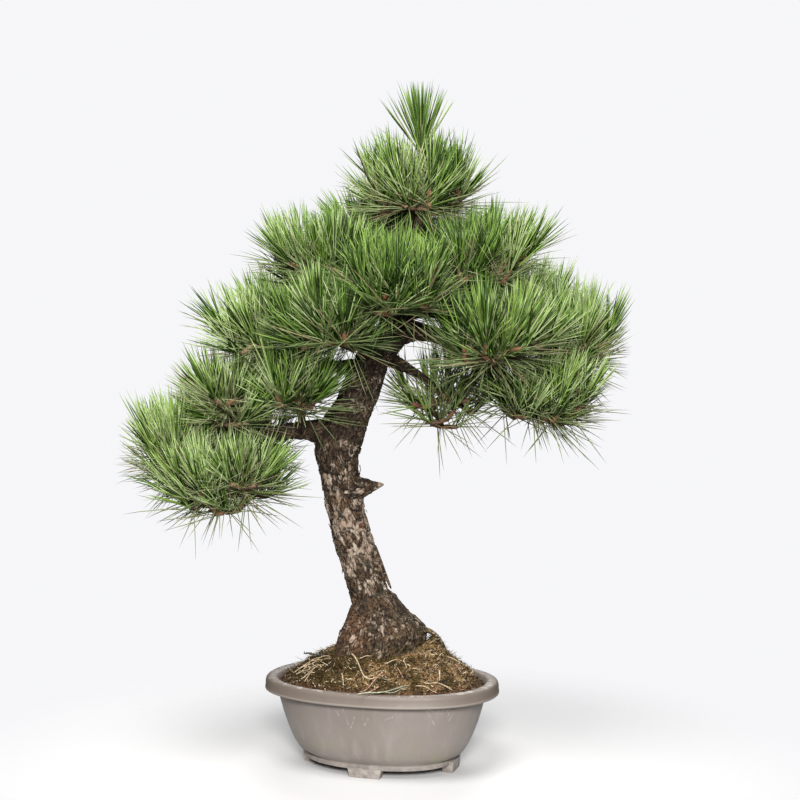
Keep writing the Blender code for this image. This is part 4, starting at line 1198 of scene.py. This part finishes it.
# Round marks on the front, rusty and pale: x, z and radius.
RUSTY_MARKS = ((-0.0104, 0.1758, 0.0034), (-0.0198, 0.2590, 0.0030), (-0.0330, 0.2860, 0.0022))
PALE_MARKS = ((0.0290, 0.1368, 0.0026), (-0.0020, 0.1530, 0.0016), (0.0080, 0.1450, 0.0014))
SCALE_FINENESS = 1.7  # the pattern on loose scales is that much finer


def relief(place, radius, swell):
    """How far the bark stands out there: plates of uneven height with fissures along the limb."""
    squeezed = Vector((place.x, place.y, place.z * 0.4))
    bend = noise.noise_vector(place * 130) * 0.6
    _, cells = noise.voronoi(squeezed / PLATE_SIZE + bend)
    plate = PLATE_STEP * (noise.cell(cells[0] * 7.3) - 0.5)
    fissure = max(0.0, 1 - abs(noise.fractal(squeezed * 170, 0.8, 2.0, 3)) / 0.25)
    lumps = noise.noise(place * 42) * LUMP_DEPTH
    gnarl = noise.fractal(Vector((place.x, place.y, place.z * 0.55)) * 80, 0.7, 2.1, 5) * GNARL_DEPTH
    fine = noise.fractal(place * 560, 0.8, 2.0, 3) * FINE_DEPTH
    return min(1.0, radius / 0.018) * (plate - FISSURE_DEPTH * fissure + lumps) + gnarl * swell + fine


def has_mark(point, marks):
    return point.y < 0 and any(math.hypot(point.x - x, point.z - z) < size for x, z, size in marks)


def bark_tone(point, spoke, swell, part):
    """How much of the bark there has flaked to pale, how red it is and how mossy."""
    if part == "loop_root":
        return ROOT_TONE
    if part == "dead_stub":
        bare = bounded((point.x - STUB_BARE_FROM) / STUB_BARE_WITHIN)
        return 0.30 + 0.55 * bare, 0.0, 0.5 * bare
    if has_mark(point, RUSTY_MARKS):
        return 0.0, 1.0, 0.0
    if has_mark(point, PALE_MARKS):
        return 1.0, 0.0, 0.0
    patch = noise.noise(point * 34)
    foot = bounded((MOSSY_TOP - point.z) / MOSSY_WITHIN)
    moss = foot * 0.7 + swell * max(0.0, spoke.x - 0.3) * 1.2
    if part == "trunk":
        pale = float(np.interp(point.z, PALE_HEIGHTS, PALE_SHARES))
        red = swell * max(0.0, -0.2 - 3.4 * spoke.x) * (0.9 + 0.8 * noise.noise(point * 70))
    else:
        pale, red = BOUGH_PALE, BOUGH_RED
    return pale * (1 + 0.55 * patch), bounded(red), bounded(moss * (0.7 + 0.6 * patch))


def scar_ring(point):
    """How far the rim of the scar stands there, from 0 to 1, and whether the place is inside it."""
    x, z, half_width, half_height = SCAR
    away = math.hypot((point.x - x) / half_width, (point.z - z) / half_height)
    if point.y > 0 or away > 1.6:
        return 0.0, False
    return max(0.0, 1 - abs(away - 1) / 0.35), away < 0.75


def flare_at(height):
    return bounded((FLARE_TOP - height) / (FLARE_TOP - GROUND - GAP))


def trunk_frames(points):
    """The two directions across the trunk at each point, level where the roots flare."""
    ahead = unit(np.gradient(points, axis=0))
    level = np.clip((LEVEL_FROM - points[:, 2:]) / LEVEL_WITHIN, 0, 1)
    ahead = unit(ahead * (1 - level) + np.array(UP) * level)
    side = unit(np.cross((0.0, 1.0, 0.0), ahead))
    return side, np.cross(ahead, side)


def bark_skin(pile, held, rows, sides, part="bough"):
    """A limb's skin along rows of x, y, z, radius, with the relief of its bark."""
    trunk = part == "trunk"
    axes = (trunk_frames if trunk else frames_along)(rows[:, :3])
    points = []
    for (x, y, z, radius), across, forward, length in zip(rows, *axes, distances(rows[:, :3])):
        centre, across, forward = Vector((x, y, z)), Vector(across), Vector(forward)
        swell = flare_at(z) if trunk else 0.0
        for step in range(sides):
            turn = 2 * math.pi * step / sides
            spoke = across * math.cos(turn) + forward * math.sin(turn)
            reach = flared(radius, swell, turn)
            place = Vector((math.cos(turn) * reach, math.sin(turn) * reach, length))
            point = centre + spoke * reach
            rim, within = scar_ring(point) if trunk else (0.0, False)
            tone = (rim, 0.0, 0.0) if rim or within else bark_tone(point, spoke, swell, part)
            points.append(point + spoke * (relief(place, radius, swell) + rim * SCAR_RISE))
            held.append((*place, *tone))
    pile.add(points, grid_triangles(len(rows), sides))


def flared(radius, swell, turn):
    return radius * (1 + FLARE_DEPTH * swell * math.cos(FLARE_LOBES * turn + FLARE_TURN))


def bark_scales(pile, held):
    """Loose scales that curl off the trunk, and one long strip low on its right side."""
    rng = random.Random("scales")
    rows, _ = resample(smooth_path(STRIP, 8), 0.0015)
    add_tube(pile, rows, 6, ripple=0.05)
    held += [(*(row[:3] * SCALE_FINENESS), 0.0, 0.0, 0.0) for row in rows for _ in range(6)]
    for _ in range(SCALES):
        foot, turn = rng.uniform(0.135, 0.450), rng.uniform(0, 2 * math.pi)
        length, width = rng.uniform(0.003, 0.008), rng.uniform(0.002, 0.0042)
        ends = (foot, foot + length * rng.choice((-1, 1)))
        tone = (rng.choice((0.0, 0.1, 0.9)), rng.uniform(0, 0.5), 0)
        add_scale(pile, held, ends, turn, width, rng.uniform(0.0005, 0.0015), tone)


def add_scale(pile, held, ends, turn, width, lift, tone):
    """A curled scale on the trunk that is held at the first height and stands off at the second."""
    centre = point_on("trunk", sum(ends) / 2)
    radius = parent_radius("trunk", centre.z)
    points = []
    for along_share in (0, 0.35, 0.7, 1.0):
        height = ends[0] + (ends[1] - ends[0]) * along_share
        axis = point_on("trunk", height)
        thick = flared(np.interp(height, TRUNK_HEIGHTS, TRUNK_RADII), flare_at(height), turn)
        for across in (-1, 0, 1):
            angle = turn + across * width / 2 / radius * (1 - 0.55 * along_share**2)
            reach = thick + 0.0004 + 0.0006 * (across == 0) + lift * along_share**2
            point = axis + Vector((math.cos(angle), math.sin(angle), 0)) * reach
            points.append(point)
            held.append((*(point * SCALE_FINENESS), *tone))
    pile.add(points, grid_triangles(4, 3, ring=False))


def with_collar(rows, places, thick):
    """The limb's rows with a swelling where it leaves its parent."""
    swell = 1 + COLLAR_SWELL * np.exp(-np.maximum(0, places - thick) / COLLAR_LENGTH)
    return np.concatenate([rows[:, :3], rows[:, 3:] * swell[:, None]], axis=1)


def bark_pieces():
    """Trunk, boughs, stub and loop root, each with the relief of its bark."""
    bark = bark_material()
    pile, held = Pile(), []
    rows, _ = resample(smooth_path(TRUNK, 24), 0.0012)
    bark_skin(pile, held, rows, 132, "trunk")
    bark_scales(pile, held)
    rows, places = resample(limb_path("dead_stub", 16), 0.0008)
    rows[:, 3] = np.interp(places / places[-1], *zip(*STUB_PROFILE))
    bark_skin(pile, held, rows, 48, "dead_stub")
    rows, _ = resample(limb_path("loop_root", 16), 0.0010)
    bark_skin(pile, held, rows, 32, "loop_root")
    add_bark("trunk_bark", pile, held, bark, ["trunk", "dead_stub", "loop_root"])
    pile, held = Pile(), []
    for name, (parent, place, *_) in BOUGHS.items():
        rows, places = resample(limb_path(name, 16), 0.0016)
        thick = parent_radius(parent, place)
        rows = with_collar(rows, places, thick)
        bark_skin(pile, held, rows[places > thick * 0.55], 30)
    add_bark("bough_bark", pile, held, bark, list(BOUGHS))


def parent_radius(parent, place):
    path = limb_path(parent)
    if parent == "trunk":
        return min(path, key=lambda row: abs(row[0].z - place))[1]
    return path[min(len(path) - 1, round(place * (len(path) - 1)))][1]


def add_bark(name, pile, held, bark, nodes):
    mesh = pile.mesh(name)
    values = np.array(held, np.float32)
    for attribute, columns in (("place", values[:, :3]), ("tone", values[:, 3:])):
        made = mesh.attributes.new(attribute, "FLOAT_VECTOR", "POINT")
        made.data.foreach_set("vector", columns.ravel())
    add_piece(name, mesh, [bark], nodes)


# Shoots, by the same rule as the solids


def tip_of(name):
    return limb_path(name)[-1][0]


def heading_of(name):
    path = limb_path(name)
    return (path[-1][0] - path[-2][0]).normalized()


def shoot_axis(out, drift, jitter):
    return (UP * UPWARD + out * OUTWARD + drift * ONWARD + jitter * STRAY).normalized()


def shoots(mass):
    """Tip and axis of each main shoot, spread evenly through the mass's space."""
    limb, centre, radii, count = MASSES[mass]
    rng = random.Random(mass)
    centre, radii = Vector(centre), Vector(radii)
    drift = (centre - tip_of(limb)).normalized()
    phase = rng.uniform(0, 2 * math.pi)
    made = []
    for index in range(count):
        turn = phase + GOLDEN_ANGLE * index
        height = 1 - LOWEST_SHOOT * (index + 0.5) / count
        ring = math.sqrt(1 - height**2)
        out = Vector((math.cos(turn) * ring, math.sin(turn) * ring, height))
        tip = centre + out * radii * rng.uniform(NEAREST_SHOOT, 1.0)
        made.append((tip, shoot_axis(out, drift, drawn(rng, *ANY_WAY))))
    if mass == "needles_apex":
        made[0] = (LEADER_TIP, LEADER_AXIS)
    return made


def cell_of(mass):
    _, centre, radii, _ = MASSES[mass]
    return Vector(centre) + UP * CELL_RISE, Vector(radii) + Vector((1, 1, 1)) * CELL_MARGIN


def cell_walls(mass):
    """The planes that part this mass's space from its neighbours', each a point and a direction out."""
    walls = []
    middle, reach = cell_of(mass)
    for other in MASSES:
        if other == mass:
            continue
        far_middle, far_reach = cell_of(other)
        out = (far_middle - middle).normalized()
        own, far = (out * reach).length, (out * far_reach).length
        walls.append((middle.lerp(far_middle, own / (own + far)) - out * CELL_GAP / 2, out))
    return walls


def inside(point, walls, margin=0.0):
    return all((point - place).dot(out) < -margin for place, out in walls)


def segment_gap(a, b, c, d):
    """Least distance between segments ab and cd, and the share along cd where it is."""
    u, v, w = b - a, d - c, a - c
    uu, uv, vv, uw, vw = u.dot(u), u.dot(v), v.dot(v), u.dot(w), v.dot(w)
    bottom = uu * vv - uv * uv
    s = 0.0 if bottom < 1e-15 else bounded((uv * vw - vv * uw) / bottom)
    t = bounded((uv * s + vw) / vv)
    s = bounded((uv * t - uw) / uu)
    return (a + u * s - c - v * t).length, t


def twig_radius(shoots_borne):
    return SHOOT_RADIUS * max(1, shoots_borne) ** PIPE_POWER


def stem_of(mass):
    """The mass's stem: from just past its limb's tip to the hub that its twigs leave from."""
    limb, centre, _, _ = MASSES[mass]
    tip = tip_of(limb)
    heading = heading_of(limb)
    start = tip + heading * GAP
    toward = (heading + (Vector(centre) - tip).normalized() * STEM_TURN).normalized()
    return start, start + toward * STEM_LENGTH


def obstacles():
    """Every limb and every mass's stem as short pieces: owner, ends and radii."""
    pieces = []
    for limb in ["trunk", *LIMBS]:
        path = limb_path(limb)
        swell = 1 + FLARE_DEPTH if limb == "trunk" else 1.0
        for (a, start), (b, end) in zip(path, path[1:]):
            pieces.append((limb, a, b, start * swell, end * swell))
    for mass, (_, _, _, count) in MASSES.items():
        start, hub = stem_of(mass)
        radius = twig_radius(count)
        pieces.append((mass, start, hub, radius, radius))
    return pieces


def clears(a, b, thickness, pieces, own):
    """Whether a stick from a to b keeps off every piece that isn't one of its own."""
    for owner, c, d, start, end in pieces:
        if owner == own:
            continue
        gap, share = segment_gap(a, b, c, d)
        if gap < start + (end - start) * share + thickness + LIMB_CLEARANCE:
            return False
    return True


def plant(places, parents, chain):
    """Adds the points of a chain to the twigs that it starts from, and gives the last one's index."""
    root, points = chain
    for point in points:
        places.append(point)
        parents.append(root)
        root = len(places) - 1
    return root


def twig_tree(mass, walls, pieces):
    """The mass's main twigs: places, the parent of each, and the shoots, as (index of the tip, axis)."""
    start, hub = stem_of(mass)
    places, parents, grown = [start, hub], [None, 0], []
    for tip, axis in sorted(shoots(mass), key=lambda shoot: (shoot[0] - hub).length):
        foot = tip - axis * SHOOT_LENGTH
        ways = [(place - foot).length + HUB_PULL * (place - hub).length for place in places]
        near = sorted(range(1, len(places)), key=ways.__getitem__)
        chain = free_chain(places, near[:ROOTS_TRIED], foot, tip, walls, pieces, mass)
        if chain:
            grown.append((plant(places, parents, chain), axis))
    return places, parents, grown


def free_chain(places, roots, foot, tip, walls, pieces, mass):
    """The first way from a root by a raised bend to the shoot that stays in the space and clear."""
    core = tip.lerp(foot, CORE_ROOT / SHOOT_LENGTH)
    if not clears(core, tip, CORE_THICKNESS, pieces, mass):
        return None
    for root in roots:
        for lift in TWIG_LIFTS:
            bend = places[root].lerp(foot, BEND_PLACE) + UP * lift
            ways = [[foot, tip], [tip]]
            if (foot - places[root]).length > TWIG_STEP:
                ways.insert(0, [bend, foot, tip])
            for points in ways:
                if is_open(places[root], points, walls, pieces, mass):
                    return root, points
    return None


def is_open(root, points, walls, pieces, mass):
    """Whether a twig through the points has no sharp turn, stays in the space and keeps clear."""
    links = list(zip([root, *points], points))
    parts = [b - a for a, b in links]
    if any(before.angle(after) > SHARPEST_TURN for before, after in zip(parts, parts[1:])):
        return False
    if not all(inside(point, walls, TWIG_MARGIN) for point in points):
        return False
    return all(clears(a, b, TWIG_THICKNESS, pieces, mass) for a, b in links)


def finer_shoots(mass, tips):
    """Tips and axes of finer shoots, thrown into the gaps between those that stand already."""
    limb, centre, radii, _ = MASSES[mass]
    rng = random.Random(mass + " finer")
    centre, reach = Vector(centre), Vector(radii) + Vector(FINER_REACH)
    drift = (centre - tip_of(limb)).normalized()
    taken, made = list(tips), []
    for _ in range(FINER_TRIES):
        out, jitter = drawn(rng, *ANY_WAY), drawn(rng, *ANY_WAY)
        tip = centre + out * reach
        crowded = min((tip - other).length for other in taken) < TUFT_SPACING
        if out.length <= 1 and FINER_SPAN[0] < out.z < FINER_SPAN[1] and not crowded:
            taken.append(tip)
            made.append((tip, shoot_axis(out, drift, jitter)))
    return made


def grow_on(mass, places, parents, grown, walls, pieces):
    """Finer shoots from the twigs and the end of the limb, by the rule of the main ones."""
    limb, _, _, count = MASSES[mass]
    marks = LEADER_MARKS if limb == "trunk" else LIMB_MARKS
    rooted = range(len(places), len(places) + len(marks))
    places += [point_on(limb, mark) for mark in marks]
    parents += [None] * len(marks)
    hub, added = places[1], []
    found = finer_shoots(mass, [places[index] for index, _ in grown])
    for tip, axis in sorted(found, key=lambda shoot: (shoot[0] - hub).length):
        foot = tip - axis * SHOOT_LENGTH
        near = sorted(range(1, len(places)), key=lambda index: (places[index] - foot).length)
        near = [index for index in near if (places[index] - foot).length < FINER_WAY]
        on_twigs = [index for index in near if index not in rooted]
        on_limb = [index for index in near if index in rooted]
        chain = free_chain(places, on_twigs[:ROOTS_TRIED], foot, tip, walls, pieces, mass)
        chain = chain or free_chain(places, on_limb[:ROOTS_TRIED], foot, tip, walls, pieces, limb)
        if chain:
            added.append((plant(places, parents, chain), axis))
        if len(added) >= FINER_SHARE * count:
            break
    return added, set(rooted)


# Twigs and needles


def add_needles(pile, roots, starts, ends, lengths, widths, slots, profile=NEEDLE_PROFILE, painted_shade_slots=None):
    """Three-sided needles that set out along starts and arrive along ends, joined to the pile."""
    side = unit(np.cross(starts, np.array((0.31, 0.17, 0.93))))
    front = np.cross(starts, side)
    turns = np.arange(3) / 3 * 2 * math.pi
    spokes = side[:, None] * np.cos(turns)[:, None] + front[:, None] * np.sin(turns)[:, None]
    rings = []
    for share, width in profile:
        middle = roots + lengths[:, None] * (starts * share + (ends - starts) * share**2 / 2)
        rings.append(middle[:, None] + spokes * (widths * width / 2)[:, None, None] * THREE_SIDED)
    tip = roots + lengths[:, None] * (starts + ends) / 2
    points = np.concatenate([*rings, tip[:, None]], axis=1)
    count, each = len(roots), points.shape[1]
    sides = grid_triangles(len(profile), 3)
    last = (len(profile) - 1) * 3
    cap = np.array([(last + i, last + (i + 1) % 3, each - 1) for i in range(3)])
    shape = np.concatenate([sides, cap])
    triangles = shape[None] + (np.arange(count) * each)[:, None, None]
    dealt = np.repeat(slots, len(shape)).reshape(count, -1)
    # The faces of the lowest stretch may take their own colour: painted shade at the needle's base.
    if painted_shade_slots is not None:
        dealt[:, :6] = painted_shade_slots[:, None]
    pile.add(points, triangles, dealt.ravel())


def walk_back(places, parents, index, axis):
    """The way from just past a shoot's tip back to the mass's stem."""
    way = [places[index] + axis * 0.004]
    while index is not None:
        way.append(places[index])
        index = parents[index]
    return np.array(way)


def along(way, distance):
    """Points at those distances back from the shoot's tip, and the directions to the tip there."""
    marks = distances(way)
    marks = marks - marks[1]

    def at(places):
        return np.stack([np.interp(places, marks, way[:, axis]) for axis in range(3)], 1)

    return at(distance), unit(at(distance - 0.002) - at(distance + 0.002) + 1e-9)


def touches(a, b, limbs):
    """For each stick from a to b, whether it touches a limb."""
    c, d, start, end = limbs
    u, v, w = (b - a)[:, None], (d - c)[None], a[:, None] - c[None]
    uu, uv, vv = (u * u).sum(-1), (u * v).sum(-1), (v * v).sum(-1)
    uw, vw = (u * w).sum(-1), (v * w).sum(-1)
    bottom = np.maximum(uu * vv - uv * uv, 1e-15)
    s = np.clip((uv * vw - vv * uw) / bottom, 0, 1)
    t = np.clip((uv * s + vw) / vv, 0, 1)
    s = np.clip((uv * t - uw) / uu, 0, 1)
    gap = np.linalg.norm(w + u * s[..., None] - v * t[..., None], axis=-1)
    return (gap < start + (end - start) * t + NEEDLE_CLEARANCE).any(1)


def tuft_ways(way, kind, rng):
    """Where a shoot's needles of one age are rooted, in pairs, and how each sets out and arrives."""
    pairs = kind["count"] // 2
    share = (np.arange(pairs) + 0.5) / pairs
    far, near = kind["span"]
    roots, ahead = along(way, far + (near - far) * share)
    ahead = unit(ahead + np.array(UP) * kind["rise"])
    low_lean, tip_lean = kind["lean"]
    lean = np.radians(tip_lean + (low_lean - tip_lean) * (1 - share) ** LEAN_POWER)
    lean += np.radians(rng.normal(0, LEAN_SPREAD, pairs))
    turn = GOLDEN_ANGLE * np.arange(pairs) + rng.uniform(0, 2 * math.pi) + rng.normal(0, TURN_SPREAD, pairs)
    side = unit(np.cross(ahead, np.array((0.9, 0.4, 0.15))))
    front = np.cross(ahead, side)
    spokes = side * np.cos(turn)[:, None] + front * np.sin(turn)[:, None]
    starts = ahead * np.cos(lean)[:, None] + spokes * np.sin(lean)[:, None]
    roots, starts, ahead = (np.repeat(rows, 2, axis=0) for rows in (roots, starts, ahead))
    starts = unit(starts + rng.normal(0, PAIR_SPREAD, starts.shape))
    level = np.linalg.norm(starts[:, :2], axis=1)
    ends = starts + ahead * kind["curl"] + rng.normal(0, CROOK_SPREAD, starts.shape)
    ends[:, 2] -= kind["sag"] * level * rng.uniform(0.3, 1.4, len(level))
    return roots, starts, unit(ends)


def add_tuft(pile, way, kind, shades, rng, limbs, box):
    """The needles of one age on one shoot. Those that would touch a limb are left out."""
    roots, starts, ends = tuft_ways(way, kind, rng)
    count, reach = len(roots), (starts + ends) / 2
    lengths = rng.uniform(*kind["length"], count)
    lengths *= room_in(box, roots, reach * lengths[:, None])
    tips = roots + lengths[:, None] * (starts + ends) / 2
    free = ~touches(roots + starts * NEEDLE_FOOT, tips, limbs)
    free &= (tips[:, 2] > roots[:, 2] - DROOP) | (rng.random(count) < DROOPING_KEPT)
    widths = rng.uniform(*NEEDLE_WIDTH, count) * kind["thick"]
    shade = rng.choice(shades, count)
    # Some needles get the darkest green on their lowest stretch, as painted shade at the base.
    low = np.where(rng.random(count) < kind["painted_shade_low"], len(YOUNG_GREENS_LIT_AND_SHADED) - 1, shade)
    kept = (rows[free] for rows in (roots, starts, ends, lengths, widths, shade))
    add_needles(pile, *kept, painted_shade_slots=low[free])


def room_in(box, roots, reach):
    """The share of each needle's reach that fits in the box."""
    low, high = box
    beyond, before = (high - roots) / np.maximum(reach, 1e-6), (roots - low) / np.maximum(-reach, 1e-6)
    return np.clip(np.where(reach > 0, beyond, before).min(1), 0.2, 1)


def add_neck(pile, way, radius, rng):
    """The bare scaly neck between a shoot's old and young needles."""
    points, _ = along(way, np.linspace(*NECK_SPAN, NECK_RINGS))
    radii = radius * (1.0 + 0.25 * np.sin(np.linspace(0, math.pi, NECK_RINGS)))
    rows = np.concatenate([points, radii[:, None]], axis=1)
    add_tube(pile, rows, 7, int(rng.choice((0, 0, 1, 2))), ripple=0.22)


def twig_runs(parents, leaves, rooted):
    """Each twig as a run of indices, from where it leaves an older twig to its tip."""
    made, covered = [], {0, 1, *rooted}
    for tip in leaves:
        run = [tip]
        while run[-1] not in covered:
            run.append(parents[run[-1]])
        covered.update(run)
        made.append(run[::-1])
    return made


def borne_by(parents, leaves):
    borne = [0] * len(parents)
    for index in leaves:
        while index is not None:
            borne[index] += 1
            index = parents[index]
    return borne


def add_twigs(pile, places, parents, leaves, rooted):
    """The stem and each twig as a smooth tube that thins with the shoots that it still bears."""
    borne = borne_by(parents, leaves)
    for run in [[0, 1], *twig_runs(parents, leaves, rooted)]:
        if len(run) < 2:
            continue
        thick = [twig_radius(borne[run[1]])] + [twig_radius(borne[index]) * 0.9 for index in run[1:]]
        stations = [(*places[index], radius) for index, radius in zip(run, thick)]
        rows, _ = resample(smooth_path(stations, 5), 0.0030)
        rows[:, 3] *= 1 + 0.12 * np.sin(np.arange(len(rows)) * 2.4)
        add_tube(pile, rows, 8)


def spray_colours(rng, main, high, outer, shaded):
    """The numbers of the greens that one spray's young and old needles are dealt, lighter or darker by
    place as painted light and shade.
    """
    tone = int(rng.choice((0, 0, 1, 1, 2, 3)))
    dull = int(rng.choice((0, 0, 1, 2)))
    # Finer sprays, which sit inside the masses, get more of the dark greens: painted shade.
    young = [tone, tone, tone, (tone + 1) % 4, 2, 4] if main else [tone, 1, 2, 2, 4, 4, 4]
    old = [dull, dull, dull, dull, (dull + 1) % 3, 1, 1, 3]
    # High sprays get lighter greens and the pale highlight green: painted light from above.
    if high:
        young = [tone, tone, 0, 3, 2, 4] if main else [tone, 0, 1, 3, 2, 4, 4]
        old = [dull, 0, 0, 2, 2, 3]
    # Outer sprays get more of the pale highlight green: painted light on the crown's sides.
    elif outer:
        young = [tone, tone, 0, 3, 3, 3, 2, 4] if main else [tone, 0, 3, 3, 2, 4]
        old = [dull, 0, 0, 2, 2, 2, 3]
    # The mass deep in shade gets only light greens: painted light that lifts its shade.
    if shaded:
        young = [0, 0, 3, 3]
        old = [0, 2, 2, 2, 2, 3]
    return young, old


def thinned(kind, mass):
    """The same needles, but fewer of them in a mass that is thin."""
    return {**kind, "count": int(kind["count"] * THINNED.get(mass, 1.0))}


def dress(place, way, main, mass, rng, young, old, limits):
    """Young and old needles on one shoot, within the limits: the limbs and the box to stay in."""
    high, outer = place.z > TOP_FROM, abs(place.x - CROWN_MIDDLE) > OUTER_FROM
    fresh = LEADER_YOUNG if place == LEADER_TIP else YOUNG if main else FINER_YOUNG
    young_shades, old_shades = spray_colours(rng, main, high, outer, mass in THINNED)
    add_tuft(young, way, thinned(fresh, mass), young_shades, rng, *limits)
    add_tuft(old, way, thinned(OLD if main else FINER_OLD, mass), old_shades, rng, *limits)


def foliage_pieces():
    """Twigs, necks, young and old needles of every mass, joined by kind."""
    pieces = obstacles()
    sticks = [stick for owner, *stick in pieces if owner not in MASSES]
    limits = [np.array(part, float) for part in zip(*sticks)], np.array(CROWN_REACH)
    twigs, necks, old = Pile(), Pile(), Pile()
    young = {group: Pile() for group in GROUPS}
    for index, mass in enumerate(MASSES):
        walls = cell_walls(mass)
        places, parents, grown = twig_tree(mass, walls, pieces)
        finer, rooted = grow_on(mass, places, parents, grown, walls, pieces)
        add_twigs(twigs, places, parents, [tip for tip, _ in grown + finer], rooted)
        group = next(name for name, members in GROUPS.items() if mass in members)
        rng = np.random.default_rng(1000 + index)
        for order, (tip, axis) in enumerate(grown + finer):
            main = order < len(grown)
            way = walk_back(places, parents, tip, axis)
            dress(places[tip], way, main, mass, rng, young[group], old, limits)
            add_neck(necks, way, SHOOT_RADIUS * (1.15 if main else 0.95), rng)
    greens = plain_materials("young_needle", YOUNG_GREENS_LIT_AND_SHADED, 0.50, 0.24)
    for group, members in GROUPS.items():
        add_piece(f"young_{group}", young[group], greens, members)
    dull = plain_materials("old_needle", OLD_GREENS, 0.55, 0.3)
    browns = plain_materials("neck", NECK_BROWNS, 0.7, 0.3)
    rows = (("old_needles", old, dull), ("shoot_necks", necks, browns), ("twigs", twigs, [twig_material()]))
    for name, pile, materials in rows:
        add_piece(name, pile, materials, list(MASSES))


# Stage, lights and camera


FLOOR_SIZE = 2.6
WORLD_COLOUR = (0.925, 0.925, 0.945)
WORLD_LIGHT = 0.08
CAMERA_PLACE = (0.020, -1.600, 0.449)
CAMERA_LENS = 67.5
CAMERA_PITCH = 2.06  # degrees down
# Lamps: place, what it points at, size, power and colour.
LAMPS = {
    "key": ((0.05, -2.3, 1.10), (0, 0, 0.34), 0.50, 110, (1.0, 0.985, 0.96)),
    "fill": ((1.3, -1.8, 0.8), (0, 0, 0.34), 0.9, 8, (0.97, 0.985, 1.0)),
    "above": ((-0.30, -0.9, 2.1), (0, 0, 0.40), 1.0, 58, (1.0, 0.99, 0.97)),
    "back": ((0.2, 1.4, 1.7), (0, 0, 0.40), 1.5, 42, (1.0, 1.0, 1.0)),
}


def stage_floor():
    bm = bmesh.new()
    bmesh.ops.create_circle(bm, cap_ends=True, segments=96, radius=FLOOR_SIZE)
    floor = helper_object(bm, "floor")
    floor.data.materials.append(floor_material())


def aimed(obj, place, target):
    obj.location = place
    obj.rotation_euler = (Vector(target) - Vector(place)).to_track_quat("-Z", "Y").to_euler()
    bpy.context.scene.collection.objects.link(obj)
    return obj


def lights():
    for name, (place, target, size, power, colour) in LAMPS.items():
        lamp = bpy.data.lights.new(name, "AREA")
        lamp.size = size
        lamp.energy = power
        lamp.color = colour
        aimed(bpy.data.objects.new(name, lamp), place, target).visible_camera = False
    world = bpy.data.worlds.new("studio")
    world.use_nodes = True
    background = world.node_tree.nodes["Background"]
    seen = node("LightPath", {}, background).outputs["Is Camera Ray"]
    strength = node("MapRange", {"Value": seen, "To Min": WORLD_LIGHT}).outputs[0]
    join(background.inputs["Color"], (*WORLD_COLOUR, 1))
    join(background.inputs["Strength"], strength)
    bpy.context.scene.world = world


def camera():
    data = bpy.data.cameras.new("camera")
    data.lens = CAMERA_LENS
    data.sensor_width = 36
    place = POT_PLACE + Vector(CAMERA_PLACE)
    drop = math.tan(math.radians(CAMERA_PITCH))
    made = aimed(bpy.data.objects.new("camera", data), place, place + Vector((0, 1, -drop)))
    bpy.context.scene.camera = made
    bpy.context.scene.view_settings.view_transform = "Standard"


pot_piece()
mound_pieces()
bark_pieces()
foliage_pieces()
stage_floor()
lights()
camera()
